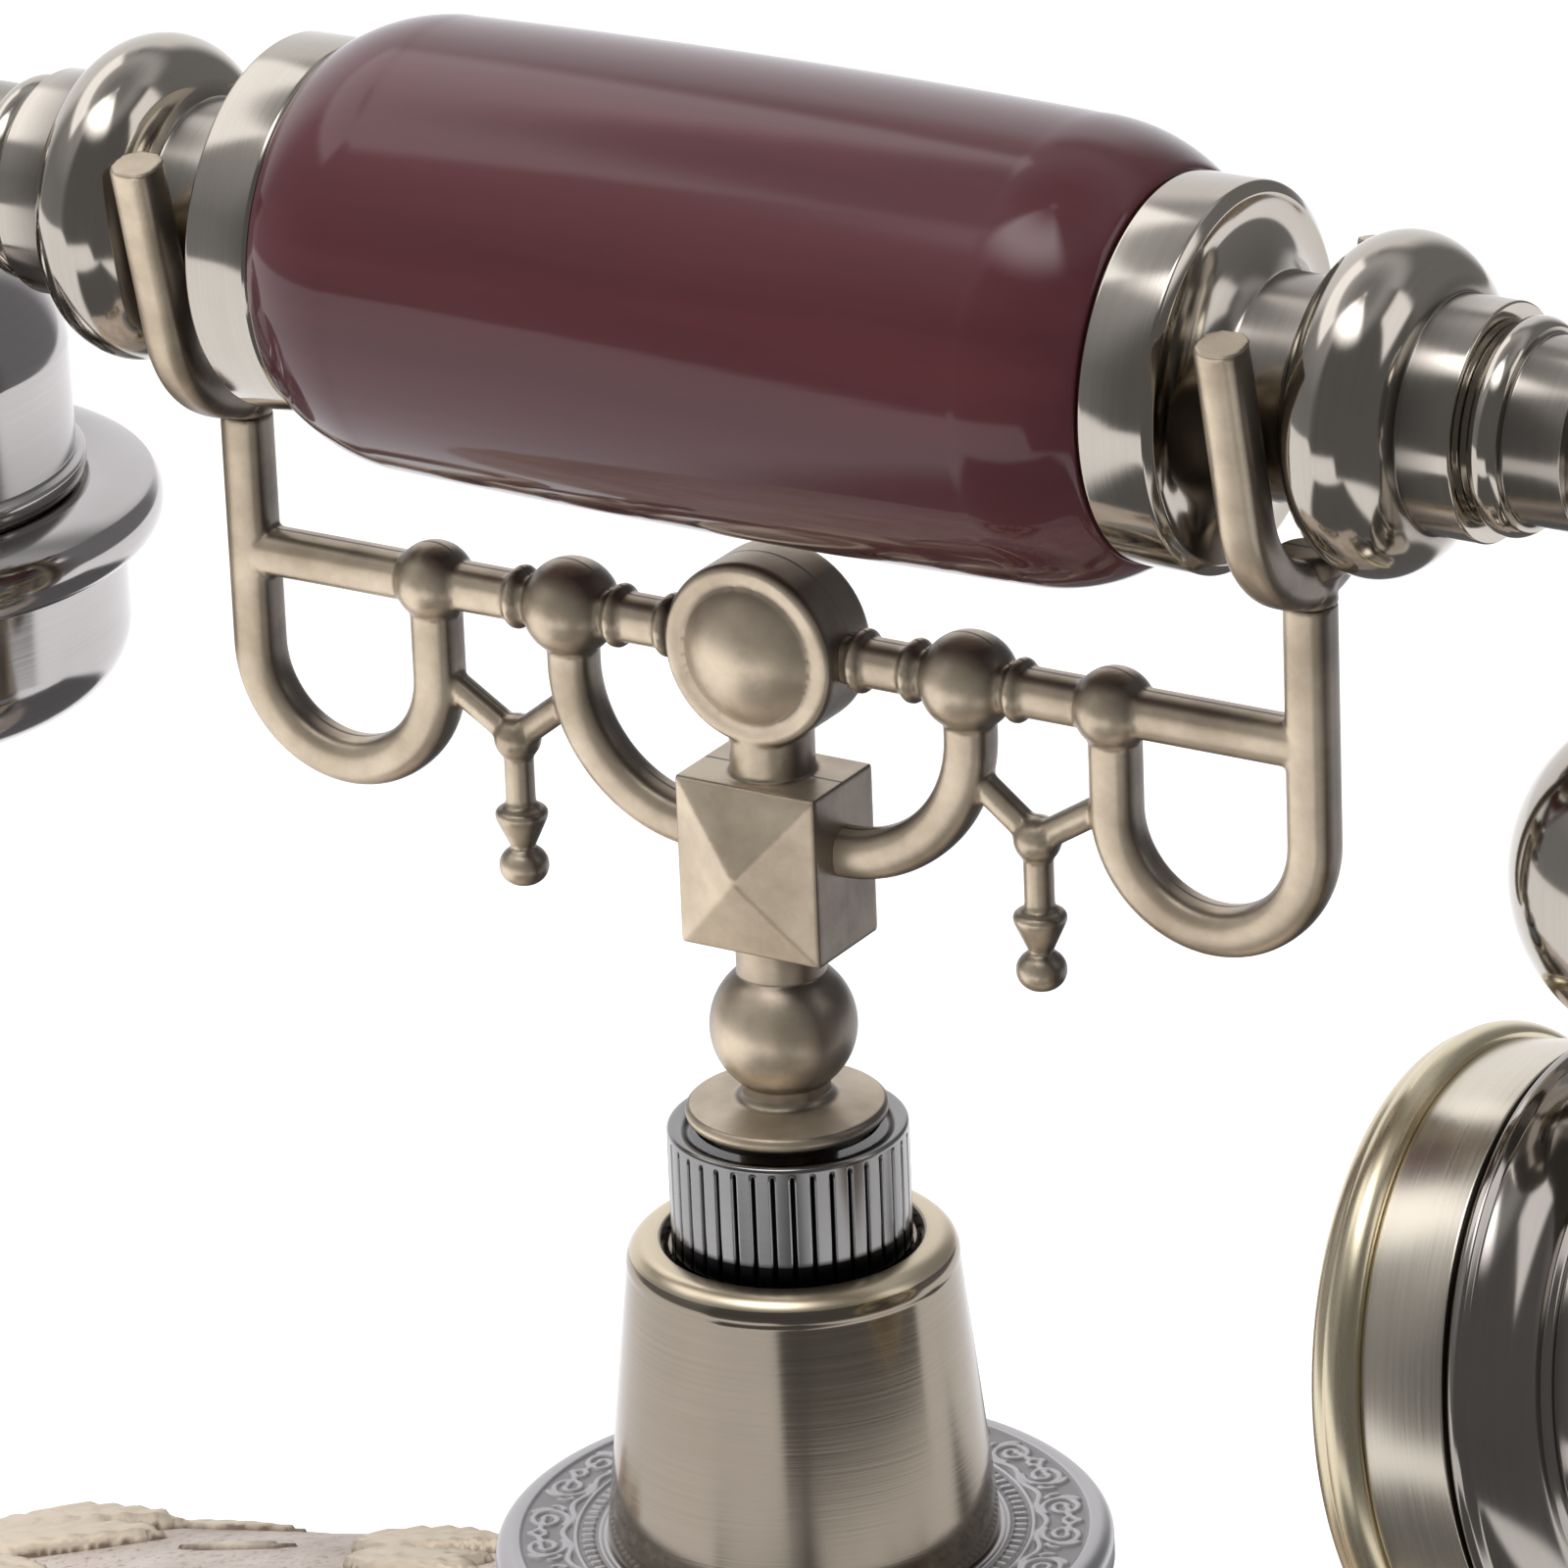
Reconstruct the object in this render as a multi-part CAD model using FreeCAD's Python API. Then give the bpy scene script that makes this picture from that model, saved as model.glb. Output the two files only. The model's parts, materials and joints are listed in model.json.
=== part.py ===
import FreeCAD, Part
import math
import os

# Desk telephone with a turned handset on a scrolled cradle. Millimetres, +Z up, front towards -Y.
# The origin is on the table under the middle of the stand. X runs along the handset, mouth end at +X.

V = FreeCAD.Vector
UP = V(0, 0, 1)
DOWN = V(0, 0, -1)

# Fits
FIT = 0.05
CLEAR = 0.3
EDGE = 0.6
FINE_EDGE = 0.4

# Base casting
BASE_WIDTH = 256.0
BASE_DEPTH = 184.0
BASE_CORNER = 30.0
BASE_WALL = 6.0
FOOT_HEIGHT = 3.0
PLINTH_HEIGHT = 12.0
PLINTH_CHAMFER = 3.0
COVE = 6.0
BODY_HEIGHT = 86.0
WAIST_RISE_LOW = 20.0
WAIST_RISE_HIGH = 52.0
SIDE_INSET_LOW = 13.0
SIDE_INSET_HIGH = 17.0
SIDE_INSET_TOP = 16.0
SLOPE_INSET_LOW = 18.0
SLOPE_INSET_HIGH = 32.0
SLOPE_INSET_TOP = 60.0
DECK_RISE = 15.5
DECK_DROP_LOW = 10.3
DECK_DROP_HIGH = 4.3
DECK_TOP_HALF = 42.0
DECK_TOP_DEPTH = 22.0
SEAT_RADIUS = 27.0
SEAT_HEIGHT = 14.5
SEAT_LIP = 3.0
SEAT_FOOT_RADIUS = 31.0
SEAT_COVE = 2.5
SEAT_ROOT = 4.0

# Bottom plate, feet and screws
REBATE = 4.0
REBATE_DEPTH = 2.0
PLATE_THICK = 1.5
FOOT_RADIUS = 8.0
FOOT_INSET = 28.0
FOOT_TAPER = 1.0
SCREW_RADIUS = 1.5
SCREW_LENGTH = 7.0
SCREW_HOLE_DEPTH = 8.0
SCREW_HEAD_RADIUS = 3.0
SCREW_HEAD_HEIGHT = 1.8
SCREW_HEAD_ROUND = 0.8
SCREW_BOSS_RADIUS = 6.0
SCREW_BOSS_HEIGHT = 15.0
SCREW_INSET = 17.0

# Stand: etched plate, cone, collar and bush
ETCHED_RADIUS = 28.0
ETCHED_THICK = 4.0
ETCHED_ROUND = 1.6
CONE_HEIGHT = 29.5
CONE_FOOT_RADIUS = 17.8
CONE_TOP_RADIUS = 14.8
CONE_ROUND = 1.4
CONE_WALL = 2.2
CONE_TOP_THICK = 3.0
COLLAR_RADIUS = 10.8
COLLAR_BORE = 8.4
COLLAR_HEIGHT = 9.6
COLLAR_RIBS = 38
COLLAR_RIB_DEPTH = 0.7
COLLAR_RIB_TOP = 1.2
COLLAR_RIB_FLANK = 0.12
COLLAR_LIP = 0.9
BUSH_RADIUS = 6.0
BUSH_LENGTH = 18.0
BUSH_FLANGE_RADIUS = 7.6
BUSH_FLANGE_THICK = 1.2

# Cradle stem
ROD_RADIUS = 4.0
FLANGE_RADIUS = 9.1
FLANGE_THICK = 1.4
FLANGE_GAP = 0.6
FLANGE_BULGE = 0.4
STEM_FOOT_RISE = 0.5
STEM_FILLET = 1.2
STEM_NECK_RADIUS = 4.0
STEM_BALL_RADIUS = 6.6
STEM_BALL_HALF = 5.2
STEM_BALL_RISE = 10.0
STEM_HEIGHT = 18.4

# Cradle hub, arms and forks
BLOCK_WIDTH = 14.3
BLOCK_DEPTH = 10.0
BLOCK_HEIGHT = 15.9
BLOCK_POINT = 2.6
BLOCK_POINT_FLAT = 0.4
HUB_NECK_RADIUS = 3.8
BAR_ABOVE_BLOCK = 11.9
DISC_RADIUS = 8.5
DISC_THICK = 7.8
DISC_EDGE = 0.5
BOSS_RADIUS = 6.2
BOSS_BULGE = 2.4
BAR_RADIUS = 2.15
BAR_RING_RADIUS = 2.95
BAR_RING_WIDTH = 1.3
BIG_BEAD_X = 20.3
BIG_BEAD_RADIUS = 4.5
BIG_BEAD_HALF = 3.9
SMALL_BEAD_X = 34.7
SMALL_BEAD_RADIUS = 3.7
SMALL_BEAD_HALF = 3.0
POST_X = 54.0
SCROLL_RADIUS = 2.2
LOOP_LEG = 9.1
ARCH_DROP = 5.2
STRUT_RADIUS = 1.3
STRUT_TOP_DROP = 8.6
PENDANT_X = 26.7
PENDANT_DROP = 13.6
PENDANT_BALL_RADIUS = 2.2
PENDANT_STEM_RADIUS = 1.35
PENDANT_STEM_LENGTH = 7.0
PENDANT_CROWN_RADIUS = 2.4
PENDANT_CROWN_HEIGHT = 3.6
PENDANT_WAIST_RADIUS = 1.05
PENDANT_TIP_RADIUS = 1.9
POST_RISE = 12.9
FORK_STUB = 2.3
FORK_STUB_RADIUS = 2.0
FORK_LEAN = 12.0
PRONG_LENGTH = 17.2

# Handset
HANDSET_RISE = 32.0
GRIP_HALF = 41.2
GRIP_RADIUS = 20.7
GRIP_CROWN = 0.45
GRIP_END_RADIUS = 17.2
GRIP_SHOULDER = 10.0
TIE_RADIUS = 8.0
TIE_BORE = 6.0
TIE_DEPTH = 4.0
BAND_RADIUS = 16.8
BAND_WIDTH = 6.5
NECK_RADIUS = 9.7
NECK_WIDTH = 5.4
SCOTIA_WIDTH = 3.0
SCOTIA_DROP = 1.0
SCOTIA_BOW = 1.2
BULB_RADIUS = 14.7
BULB_WIDTH = 11.0
BULB_FOOT_RADIUS = 10.6
SLEEVE_RADIUS = 10.2
SLEEVE_WIDTH = 5.0
GROOVE_RADIUS = 8.4
GROOVE_WIDTH = 0.8
RING_RADIUS = 9.3
RING_WIDTH = 2.8
RING_BULGE = 0.6
ARM_RADIUS = 8.0
ARM_BALL_RADIUS = 11.0

# Ear cup, hanging on a vertical axis
EAR_X = -99.0
EAR_TOP_DROP = 9.5
EAR_TOP_FLAT = 9.5
EAR_DRUM_RADIUS = 20.9
EAR_SHOULDER = 10.5
EAR_SHOULDER_BOW = 2.6
EAR_DRUM_HEIGHT = 22.5
EAR_LIP = 0.9
EAR_LIP_WIDTH = 1.2
CUP_WALL = 2.4
EAR_RIM_RADIUS = 28.7
EAR_RIM_HEIGHT = 7.0
EAR_RIM_SLOPE = 1.6
EAR_RIM_SLOPE_BOW = 0.5
EAR_RIM_EDGE = 0.8
EAR_RIM_UNDERCUT = 2.4
EAR_RIM_BOW = 1.5
EAR_CAP_RADIUS = 25.0
EAR_CAP_HEIGHT = 14.7
EAR_CAP_ROUND = 7.0
EAR_CAP_BOW = 2.0
EAR_FACE_RADIUS = 17.0
EAR_FACE_LIP = 1.5
EAR_DISH = 3.0
SOUND_HOLE_RADIUS = 1.4
SOUND_HOLE_RING = 7.0
SOUND_HOLES = 6
RECEIVER_HEIGHT = 6.5
RECEIVER_FLANGE = 2.5
RECEIVER_MAGNET_RADIUS = 10.1

# Mouth cup, on a nearly level axis under the mouth end
MOUTH_X = 89.3
MOUTH_RIM_X = 73.0
MOUTH_DROP = 85.3
MOUTH_TILT = 9.0
MOUTH_RIM_RADIUS = 29.0
MOUTH_RIM_DEPTH = 5.0
MOUTH_RIM_LIP = 20.0
MOUTH_RIM_LIP_SLOPE = 1.0
MOUTH_RIM_FACE = 25.6
MOUTH_RIM_ROLL = 2.0
MOUTH_RIM_FACE_BOW = 0.8
MOUTH_RIM_BACK_BOW = 0.7
MOUTH_RIM_BACK = 1.0
MOUTH_BAND_RADIUS = 27.5
MOUTH_BAND_WIDTH = 7.8
MOUTH_GROOVE_RADIUS = 26.6
MOUTH_GROOVE_WIDTH = 0.7
MOUTH_RING_RADIUS = 28.2
MOUTH_RING_WIDTH = 1.6
MOUTH_RING_SLOPE = 0.8
MOUTH_SHOULDER_RADIUS = 21.2
MOUTH_SHOULDER_WIDTH = 4.6
MOUTH_SHOULDER_BOW = 1.0
MOUTH_DOME_DEPTH = 9.5
MOUTH_DOME_BOW = 3.2
MOUTH_BACK_RADIUS = 7.0
MOUTH_BOSS_RADIUS = 8.5
MOUTH_BALL_RADIUS = 15.0
MOUTH_BALL_HALF = 13.0
MOUTH_BALL_DROP = 37.3
MOUTH_NECK_RADIUS = 7.5
MOUTH_NECK_DROP = 54.5
LEG_RING = 1.4
LEG_RING_WIDTH = 2.4
GRILLE_THICK = 1.5
MICROPHONE_RADIUS = 12.0
MICROPHONE_HEIGHT = 6.0
MICROPHONE_EDGE = 2.4
MICROPHONE_BACK_RADIUS = 7.2
SOCKET_BORE = 2.6
SOCKET_LENGTH = 5.0
SOCKET_RADIUS = 6.4
SOCKET_ROUND = 1.4
SOCKET_FLOOR = 0.8

# Key dial on the sloped front
DIAL_RADIUS = 41.0
DIAL_INSET = 27.0
DIAL_RISE = 49.0
DIAL_TILT = 31.0
DIAL_BOSS_DEPTH = 16.0
DIAL_RECESS_RADIUS = 37.0
DIAL_STEP = 2.0
BEZEL_HEIGHT = 3.0
BEZEL_LIP = 0.8
BEZEL_EDGE = 1.2
BEZEL_BOW = 0.8
KEY_PLATE_THICK = 2.5
KEY_PLATE_SINK = 1.6
KEY_COUNT = 12
KEY_START = 60.0
KEY_RING_RADIUS = 27.5
KEY_RADIUS = 6.0
KEY_FLANGE = 0.6
KEY_FLANGE_THICK = 2.0
KEY_PROUD = 4.0
KEY_TRAVEL = 1.5
KEY_ROUND = 1.2
KEY_DISH = 0.5
KEYPAD_BOARD_THICK = 1.6
KEY_MAT_THICK = 1.2
MEDALLION_RADIUS = 14.0
MEDALLION_EDGE = 1.2
MEDALLION_BOW = 2.0

# Hook switch under the deck
HOOK_TRAVEL = 4.0
HOOK_ROOM = 4.3
HOOK_GAP = 0.4
HOOK_ARM = 28.0
HOOK_LEVER_TAIL = 5.0
HOOK_LEVER_WIDTH = 8.0
HOOK_LEVER_THICK = 1.2
HOOK_EYE_RADIUS = 2.2
HOOK_PIN_RADIUS = 1.0
HOOK_SIDE_GAP = 1.0
SWITCH_LENGTH = 22.0
SWITCH_HEIGHT = 10.0
SWITCH_DEPTH = 9.0
BRACKET_THICK = 1.5
BRACKET_FOOT = 10.0
BRACKET_FOOT_WIDTH = 20.0
BRACKET_WIDTH = 30.0
BRACKET_MARGIN = 1.0

# Ringer, boards and jacks on the bottom plate
GONG_X = 30.0
GONG_RADIUS = 22.0
GONG_HEIGHT = 11.0
GONG_WALL = 1.2
GONG_BOW = 3.6
GONG_CROWN_RADIUS = 4.0
POST_RADIUS = 3.0
POST_HEIGHT = 19.0
HAMMER_REACH = 26.0
HAMMER_BALL_RADIUS = 4.0
HAMMER_ROD_RADIUS = 1.2
HAMMER_HUB_RADIUS = 4.5
HAMMER_HUB_HEIGHT = 7.0
PIVOT_RADIUS = 2.0
PIVOT_SHOULDER = 4.0
PIVOT_HEIGHT = 7.0
RINGER_WIDTH = 28.0
RINGER_DEPTH = 30.0
RINGER_THICK = 2.0
RINGER_MARGIN = 2.0
COIL_INSET = 30.0
COIL_GAP = 14.0
COIL_RADIUS = 6.0
COIL_CHEEK_RADIUS = 7.5
COIL_CHEEK_THICK = 1.5
COIL_LENGTH = 24.0
BOARD_X = -82.0
BOARD_WIDTH = 56.0
BOARD_DEPTH = 64.0
BOARD_THICK = 1.6
STANDOFF_HEIGHT = 6.0
STANDOFF_RADIUS = 2.5
STANDOFF_INSET = 5.0
TRANSFORMER_SIZE = 16.0
TRANSFORMER_CORE = 5.0
JACK_X = 20.0
JACK_WIDTH = 12.0
JACK_HEIGHT = 6.6
JACK_DEPTH = 14.0
JACK_SOCKET_WIDTH = 8.2
JACK_SOCKET_HEIGHT = 4.6
JACK_SOCKET_DEPTH = 10.0

# Heights and places worked out from the sizes above
PLINTH_TOP = FOOT_HEIGHT + PLINTH_HEIGHT
DECK_EDGE_Z = PLINTH_TOP + BODY_HEIGHT
SEAT_Z = DECK_EDGE_Z + DECK_RISE + SEAT_HEIGHT
ETCHED_TOP = SEAT_Z + ETCHED_THICK
CONE_TOP = ETCHED_TOP + CONE_HEIGHT
COLLAR_TOP = CONE_TOP + COLLAR_HEIGHT
FLANGE_Z = COLLAR_TOP + FLANGE_GAP
BLOCK_Z = FLANGE_Z + STEM_HEIGHT
BLOCK_TOP = BLOCK_Z + BLOCK_HEIGHT
BAR_Z = BLOCK_TOP + BAR_ABOVE_BLOCK
AXIS_Z = BAR_Z + HANDSET_RISE
FORK_SEAT_Z = BAR_Z + POST_RISE
REBATE_Z = FOOT_HEIGHT + REBATE_DEPTH
COIL_Y = BASE_DEPTH / 2 - COIL_INSET
HAMMER_Y = COIL_Y - COIL_GAP
GONG_Y = HAMMER_Y - HAMMER_REACH
PLATE_Z = REBATE_Z - PLATE_THICK
CAVITY_TOP = DECK_EDGE_Z + DECK_RISE - BASE_WALL
ROD_END_Z = CAVITY_TOP - HOOK_ROOM - HOOK_TRAVEL
KEY_PLATE_LOW = KEY_PLATE_SINK + KEY_PLATE_THICK
KEY_FLANGE_LOW = KEY_PLATE_LOW + CLEAR + KEY_FLANGE_THICK
KEY_MAT_TOP = KEY_FLANGE_LOW + KEY_TRAVEL + CLEAR
DIAL_RECESS_DEPTH = KEY_MAT_TOP + KEY_MAT_THICK + KEYPAD_BOARD_THICK
NECK_X = POST_X
BULB_X = NECK_X + NECK_WIDTH / 2
SLEEVE_X = BULB_X + BULB_WIDTH
SLEEVE_END = SLEEVE_X + SLEEVE_WIDTH
RING_X = SLEEVE_END + GROOVE_WIDTH
ARM_X = RING_X + RING_WIDTH


def bowed(start, end, bow):
    """Middle point of an arc from start to end that stands bow to the right of the straight line."""
    across = end[0] - start[0]
    along = end[1] - start[1]
    chord = math.hypot(across, along)
    middle_r = (start[0] + end[0]) / 2 + bow * along / chord
    middle_z = (start[1] + end[1]) / 2 - bow * across / chord
    return middle_r, middle_z


def cap_bow(radius, height):
    """Bow of the arc from the edge of a round cap to its crown, so that the cap is part of a ball."""
    ball = (radius ** 2 + height ** 2) / (2 * height)
    half_chord = math.hypot(radius, height) / 2
    return ball - math.sqrt(ball ** 2 - half_chord ** 2)


def round_bow(size):
    """Bow of a quarter round that takes size off both sides of a square edge."""
    return size * (1 - math.sqrt(0.5))


def ball_bow(start, end, radius):
    """Bow of an arc of a ball about the origin."""
    return radius - math.hypot((start[0] + end[0]) / 2, (start[1] + end[1]) / 2)


def turned(outline, origin, direction=UP):
    """Solid turned about an axis. The outline is (radius, height), anticlockwise; a third number bows it."""
    edges = []
    here = outline[0]
    for station in outline[1:] + outline[:1]:
        there = station[:2]
        start = V(here[0], 0, here[1])
        end = V(there[0], 0, there[1])
        if start.distanceToPoint(end) > 1e-6:
            if len(station) == 3:
                middle = bowed(here, there, station[2])
                edges.append(Part.Arc(start, V(middle[0], 0, middle[1]), end).toShape())
            else:
                edges.append(Part.LineSegment(start, end).toShape())
        here = there
    solid = Part.Face(Part.Wire(edges)).revolve(V(0, 0, 0), UP, 360)
    solid.Placement = FreeCAD.Placement(origin, FreeCAD.Rotation(UP, direction))
    return solid


def rod(start, end, radius):
    """Round rod between two points."""
    return Part.makeCylinder(radius, start.distanceToPoint(end), start, end - start)


def bent(start, centre, axis, angle, radius):
    """Round rod bent about an axis through centre, from start and over an angle in degrees."""
    section = Part.Face(Part.Wire(Part.makeCircle(radius, start, axis.cross(start - centre))))
    return section.revolve(centre, axis, angle)


def box(centre, size):
    """Box about its centre point."""
    return Part.makeBox(size.x, size.y, size.z, centre - size * 0.5)


def rounded_frame(half_x, half_y, corner, height):
    """Rounded rectangle about the Z axis: four sides and four corner arcs."""
    edges = []
    turns = ((1, -1), (1, 1), (-1, 1), (-1, -1))
    quarter = math.sqrt(0.5)
    for number, (sign_x, sign_y) in enumerate(turns):
        centre = V(sign_x * (half_x - corner), sign_y * (half_y - corner), height)
        out_x = V(sign_x * corner, 0, 0)
        out_y = V(0, sign_y * corner, 0)
        first, last = (out_y, out_x) if number % 2 == 0 else (out_x, out_y)
        middle = (out_x + out_y) * quarter
        edges.append(Part.Arc(centre + first, centre + middle, centre + last).toShape())
    sides = []
    for number, arc in enumerate(edges):
        follower = edges[(number + 1) % 4]
        sides.append(arc)
        line = Part.LineSegment(arc.lastVertex(True).Point, follower.firstVertex(True).Point)
        sides.append(line.toShape())
    return Part.Wire(sides)


def base_form(inset, floor, top_cut):
    """Outside of the base, or its hollow when inset by the wall: plinth, sloped body and crowned deck."""
    half_x = BASE_WIDTH / 2 - inset
    half_y = BASE_DEPTH / 2 - inset
    corner = BASE_CORNER - inset

    def frame(inset_x, inset_y, height):
        deep = half_y - inset_y
        return rounded_frame(half_x - inset_x, deep, min(corner, deep - CLEAR), height)

    plinth = Part.makeLoft([
        frame(PLINTH_CHAMFER, PLINTH_CHAMFER, floor),
        frame(0, 0, FOOT_HEIGHT + PLINTH_CHAMFER),
        frame(0, 0, PLINTH_TOP - PLINTH_CHAMFER),
        frame(COVE, COVE, PLINTH_TOP)], True, True)
    body = Part.makeLoft([
        frame(COVE, COVE, PLINTH_TOP),
        frame(SIDE_INSET_LOW, SLOPE_INSET_LOW, PLINTH_TOP + WAIST_RISE_LOW),
        frame(SIDE_INSET_HIGH, SLOPE_INSET_HIGH, PLINTH_TOP + WAIST_RISE_HIGH),
        frame(SIDE_INSET_TOP, SLOPE_INSET_TOP, DECK_EDGE_Z)], True, False)
    edge_x = half_x - SIDE_INSET_TOP
    edge_y = half_y - SLOPE_INSET_TOP
    deck_top = DECK_EDGE_Z + DECK_RISE - top_cut

    def deck_frame(step, height):
        across = edge_x + (DECK_TOP_HALF - inset - edge_x) * step / 3
        deep = edge_y + (DECK_TOP_DEPTH - inset - edge_y) * step / 3
        return rounded_frame(across, deep, min(corner, deep - CLEAR), height)

    deck = Part.makeLoft([
        deck_frame(0, DECK_EDGE_Z), deck_frame(1, deck_top - DECK_DROP_LOW),
        deck_frame(2, deck_top - DECK_DROP_HIGH), deck_frame(3, deck_top)], True, True)
    return plinth.fuse([body, deck]).removeSplitter()


def dial_axis():
    """Centre of the dial's front face and the direction that it faces."""
    lean = math.radians(DIAL_TILT)
    centre = V(0, DIAL_INSET - BASE_DEPTH / 2, PLINTH_TOP + DIAL_RISE)
    return centre, V(0, -math.cos(lean), math.sin(lean))


def on_dial(outline):
    """Piece turned about the dial's axis, with heights measured from its front face."""
    centre, facing = dial_axis()
    return turned(outline, centre, facing)


def key_places():
    """Centre of each key on the dial's front face, clockwise from the upper right."""
    centre, facing = dial_axis()
    side = V(1, 0, 0)
    rise = facing.cross(side)
    places = []
    for number in range(KEY_COUNT):
        turn = math.radians(KEY_START - 360 / KEY_COUNT * number)
        places.append(centre + (side * math.cos(turn) + rise * math.sin(turn)) * KEY_RING_RADIUS)
    return places


def screw_places():
    return corner_places(SCREW_INSET)


def corner_places(inset):
    """Four places set in from the corners of the base."""
    places = []
    for sign_x in (-1, 1):
        for sign_y in (-1, 1):
            places.append(V(sign_x * (BASE_WIDTH / 2 - inset), sign_y * (BASE_DEPTH / 2 - inset), 0))
    return places


def jack_places():
    back = BASE_DEPTH / 2 - FIT
    return [V(sign * JACK_X, back - JACK_DEPTH / 2, REBATE_Z + JACK_HEIGHT / 2) for sign in (-1, 1)]


def base_shell():
    """Resin casting: hollow body, round seat for the stand and a boss for the dial."""
    outside = base_form(0, FOOT_HEIGHT, 0)
    root = DECK_EDGE_Z - SEAT_ROOT
    deck_top = DECK_EDGE_Z + DECK_RISE
    seat = turned([
        (0, root), (SEAT_FOOT_RADIUS, root), (SEAT_FOOT_RADIUS, deck_top),
        (SEAT_RADIUS, SEAT_Z - SEAT_LIP, -SEAT_COVE), (SEAT_RADIUS, SEAT_Z), (0, SEAT_Z)], V(0, 0, 0))
    boss = on_dial([(0, -DIAL_BOSS_DEPTH), (DIAL_RADIUS, -DIAL_BOSS_DEPTH), (DIAL_RADIUS, 0), (0, 0)])
    hollow = base_form(BASE_WALL, REBATE_Z - PLINTH_CHAMFER, BASE_WALL)
    shell = outside.fuse(seat).cut(hollow).fuse(boss)
    rebate = Part.Face(rounded_frame(BASE_WIDTH / 2 - REBATE, BASE_DEPTH / 2 - REBATE,
                                     BASE_CORNER - REBATE, FOOT_HEIGHT))
    step = DIAL_RECESS_RADIUS - DIAL_STEP
    recess = on_dial([
        (0, -DIAL_RECESS_DEPTH), (step, -DIAL_RECESS_DEPTH), (step, -KEY_PLATE_LOW),
        (DIAL_RECESS_RADIUS, -KEY_PLATE_LOW), (DIAL_RECESS_RADIUS, BEZEL_HEIGHT), (0, BEZEL_HEIGHT)])
    cuts = [rebate.extrude(UP * REBATE_DEPTH), recess]
    cuts.append(Part.makeCylinder(ROD_RADIUS + CLEAR, SEAT_Z, V(0, 0, SEAT_Z), DOWN))
    for place in jack_places():
        cuts.append(box(place + V(0, JACK_DEPTH / 2, 0),
                        V(JACK_WIDTH + 2 * FIT, 2 * JACK_DEPTH, JACK_HEIGHT + 2 * FIT)))
    bosses = []
    for place in screw_places():
        bosses.append(Part.makeCylinder(SCREW_BOSS_RADIUS, SCREW_BOSS_HEIGHT, place + UP * REBATE_Z))
        cuts.append(Part.makeCylinder(SCREW_RADIUS, SCREW_HOLE_DEPTH, place + UP * PLATE_Z))
    return shell.fuse(bosses).common(outside.fuse([seat, boss])).cut(cuts)


def bottom_plate():
    """Sheet steel plate closing the base from below."""
    half_x = BASE_WIDTH / 2 - REBATE - CLEAR
    half_y = BASE_DEPTH / 2 - REBATE - CLEAR
    outline = Part.Face(rounded_frame(half_x, half_y, BASE_CORNER - REBATE - CLEAR, PLATE_Z))
    holes = []
    for place in screw_places():
        holes.append(Part.makeCylinder(SCREW_RADIUS + FIT, PLATE_THICK, place + UP * PLATE_Z))
    return outline.extrude(UP * PLATE_THICK).cut(holes)


def rubber_feet():
    feet = []
    tread = FOOT_RADIUS - FOOT_TAPER
    for place in corner_places(FOOT_INSET):
        feet.append(turned([(0, 0), (tread, 0), (FOOT_RADIUS, PLATE_Z), (0, PLATE_Z)], place))
    return Part.makeCompound(feet)


def bottom_screws():
    screws = []
    for place in screw_places():
        head = SCREW_HEAD_RADIUS
        edge = SCREW_HEAD_ROUND
        shank = SCREW_RADIUS - FIT
        screws.append(turned([
            (0, -SCREW_HEAD_HEIGHT), (head - edge, -SCREW_HEAD_HEIGHT),
            (head, edge - SCREW_HEAD_HEIGHT, round_bow(edge)), (head, 0),
            (shank, 0), (shank, SCREW_LENGTH), (0, SCREW_LENGTH)], place + UP * PLATE_Z))
    return Part.makeCompound(screws)


def etched_plate():
    """Round metal plate with a rolled edge, on the seat of the base."""
    bore = ROD_RADIUS + CLEAR
    edge = ETCHED_RADIUS
    return turned([
        (bore, 0), (edge - EDGE, 0), (edge, EDGE, round_bow(EDGE)), (edge, ETCHED_THICK - ETCHED_ROUND),
        (edge - ETCHED_ROUND, ETCHED_THICK, round_bow(ETCHED_ROUND)), (bore, ETCHED_THICK)], V(0, 0, SEAT_Z))


def stand_cone():
    """Spun cone, hollow below, with a flat top bored for the bush."""
    foot = CONE_FOOT_RADIUS
    top = CONE_TOP_RADIUS
    inner_top = CONE_HEIGHT - CONE_TOP_THICK
    return turned([
        (foot - CONE_WALL, 0), (foot, 0), (top, CONE_HEIGHT - CONE_ROUND),
        (top - CONE_ROUND, CONE_HEIGHT, round_bow(CONE_ROUND)), (BUSH_RADIUS, CONE_HEIGHT),
        (BUSH_RADIUS, inner_top), (top - CONE_WALL, inner_top)],
        V(0, 0, ETCHED_TOP))


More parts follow.
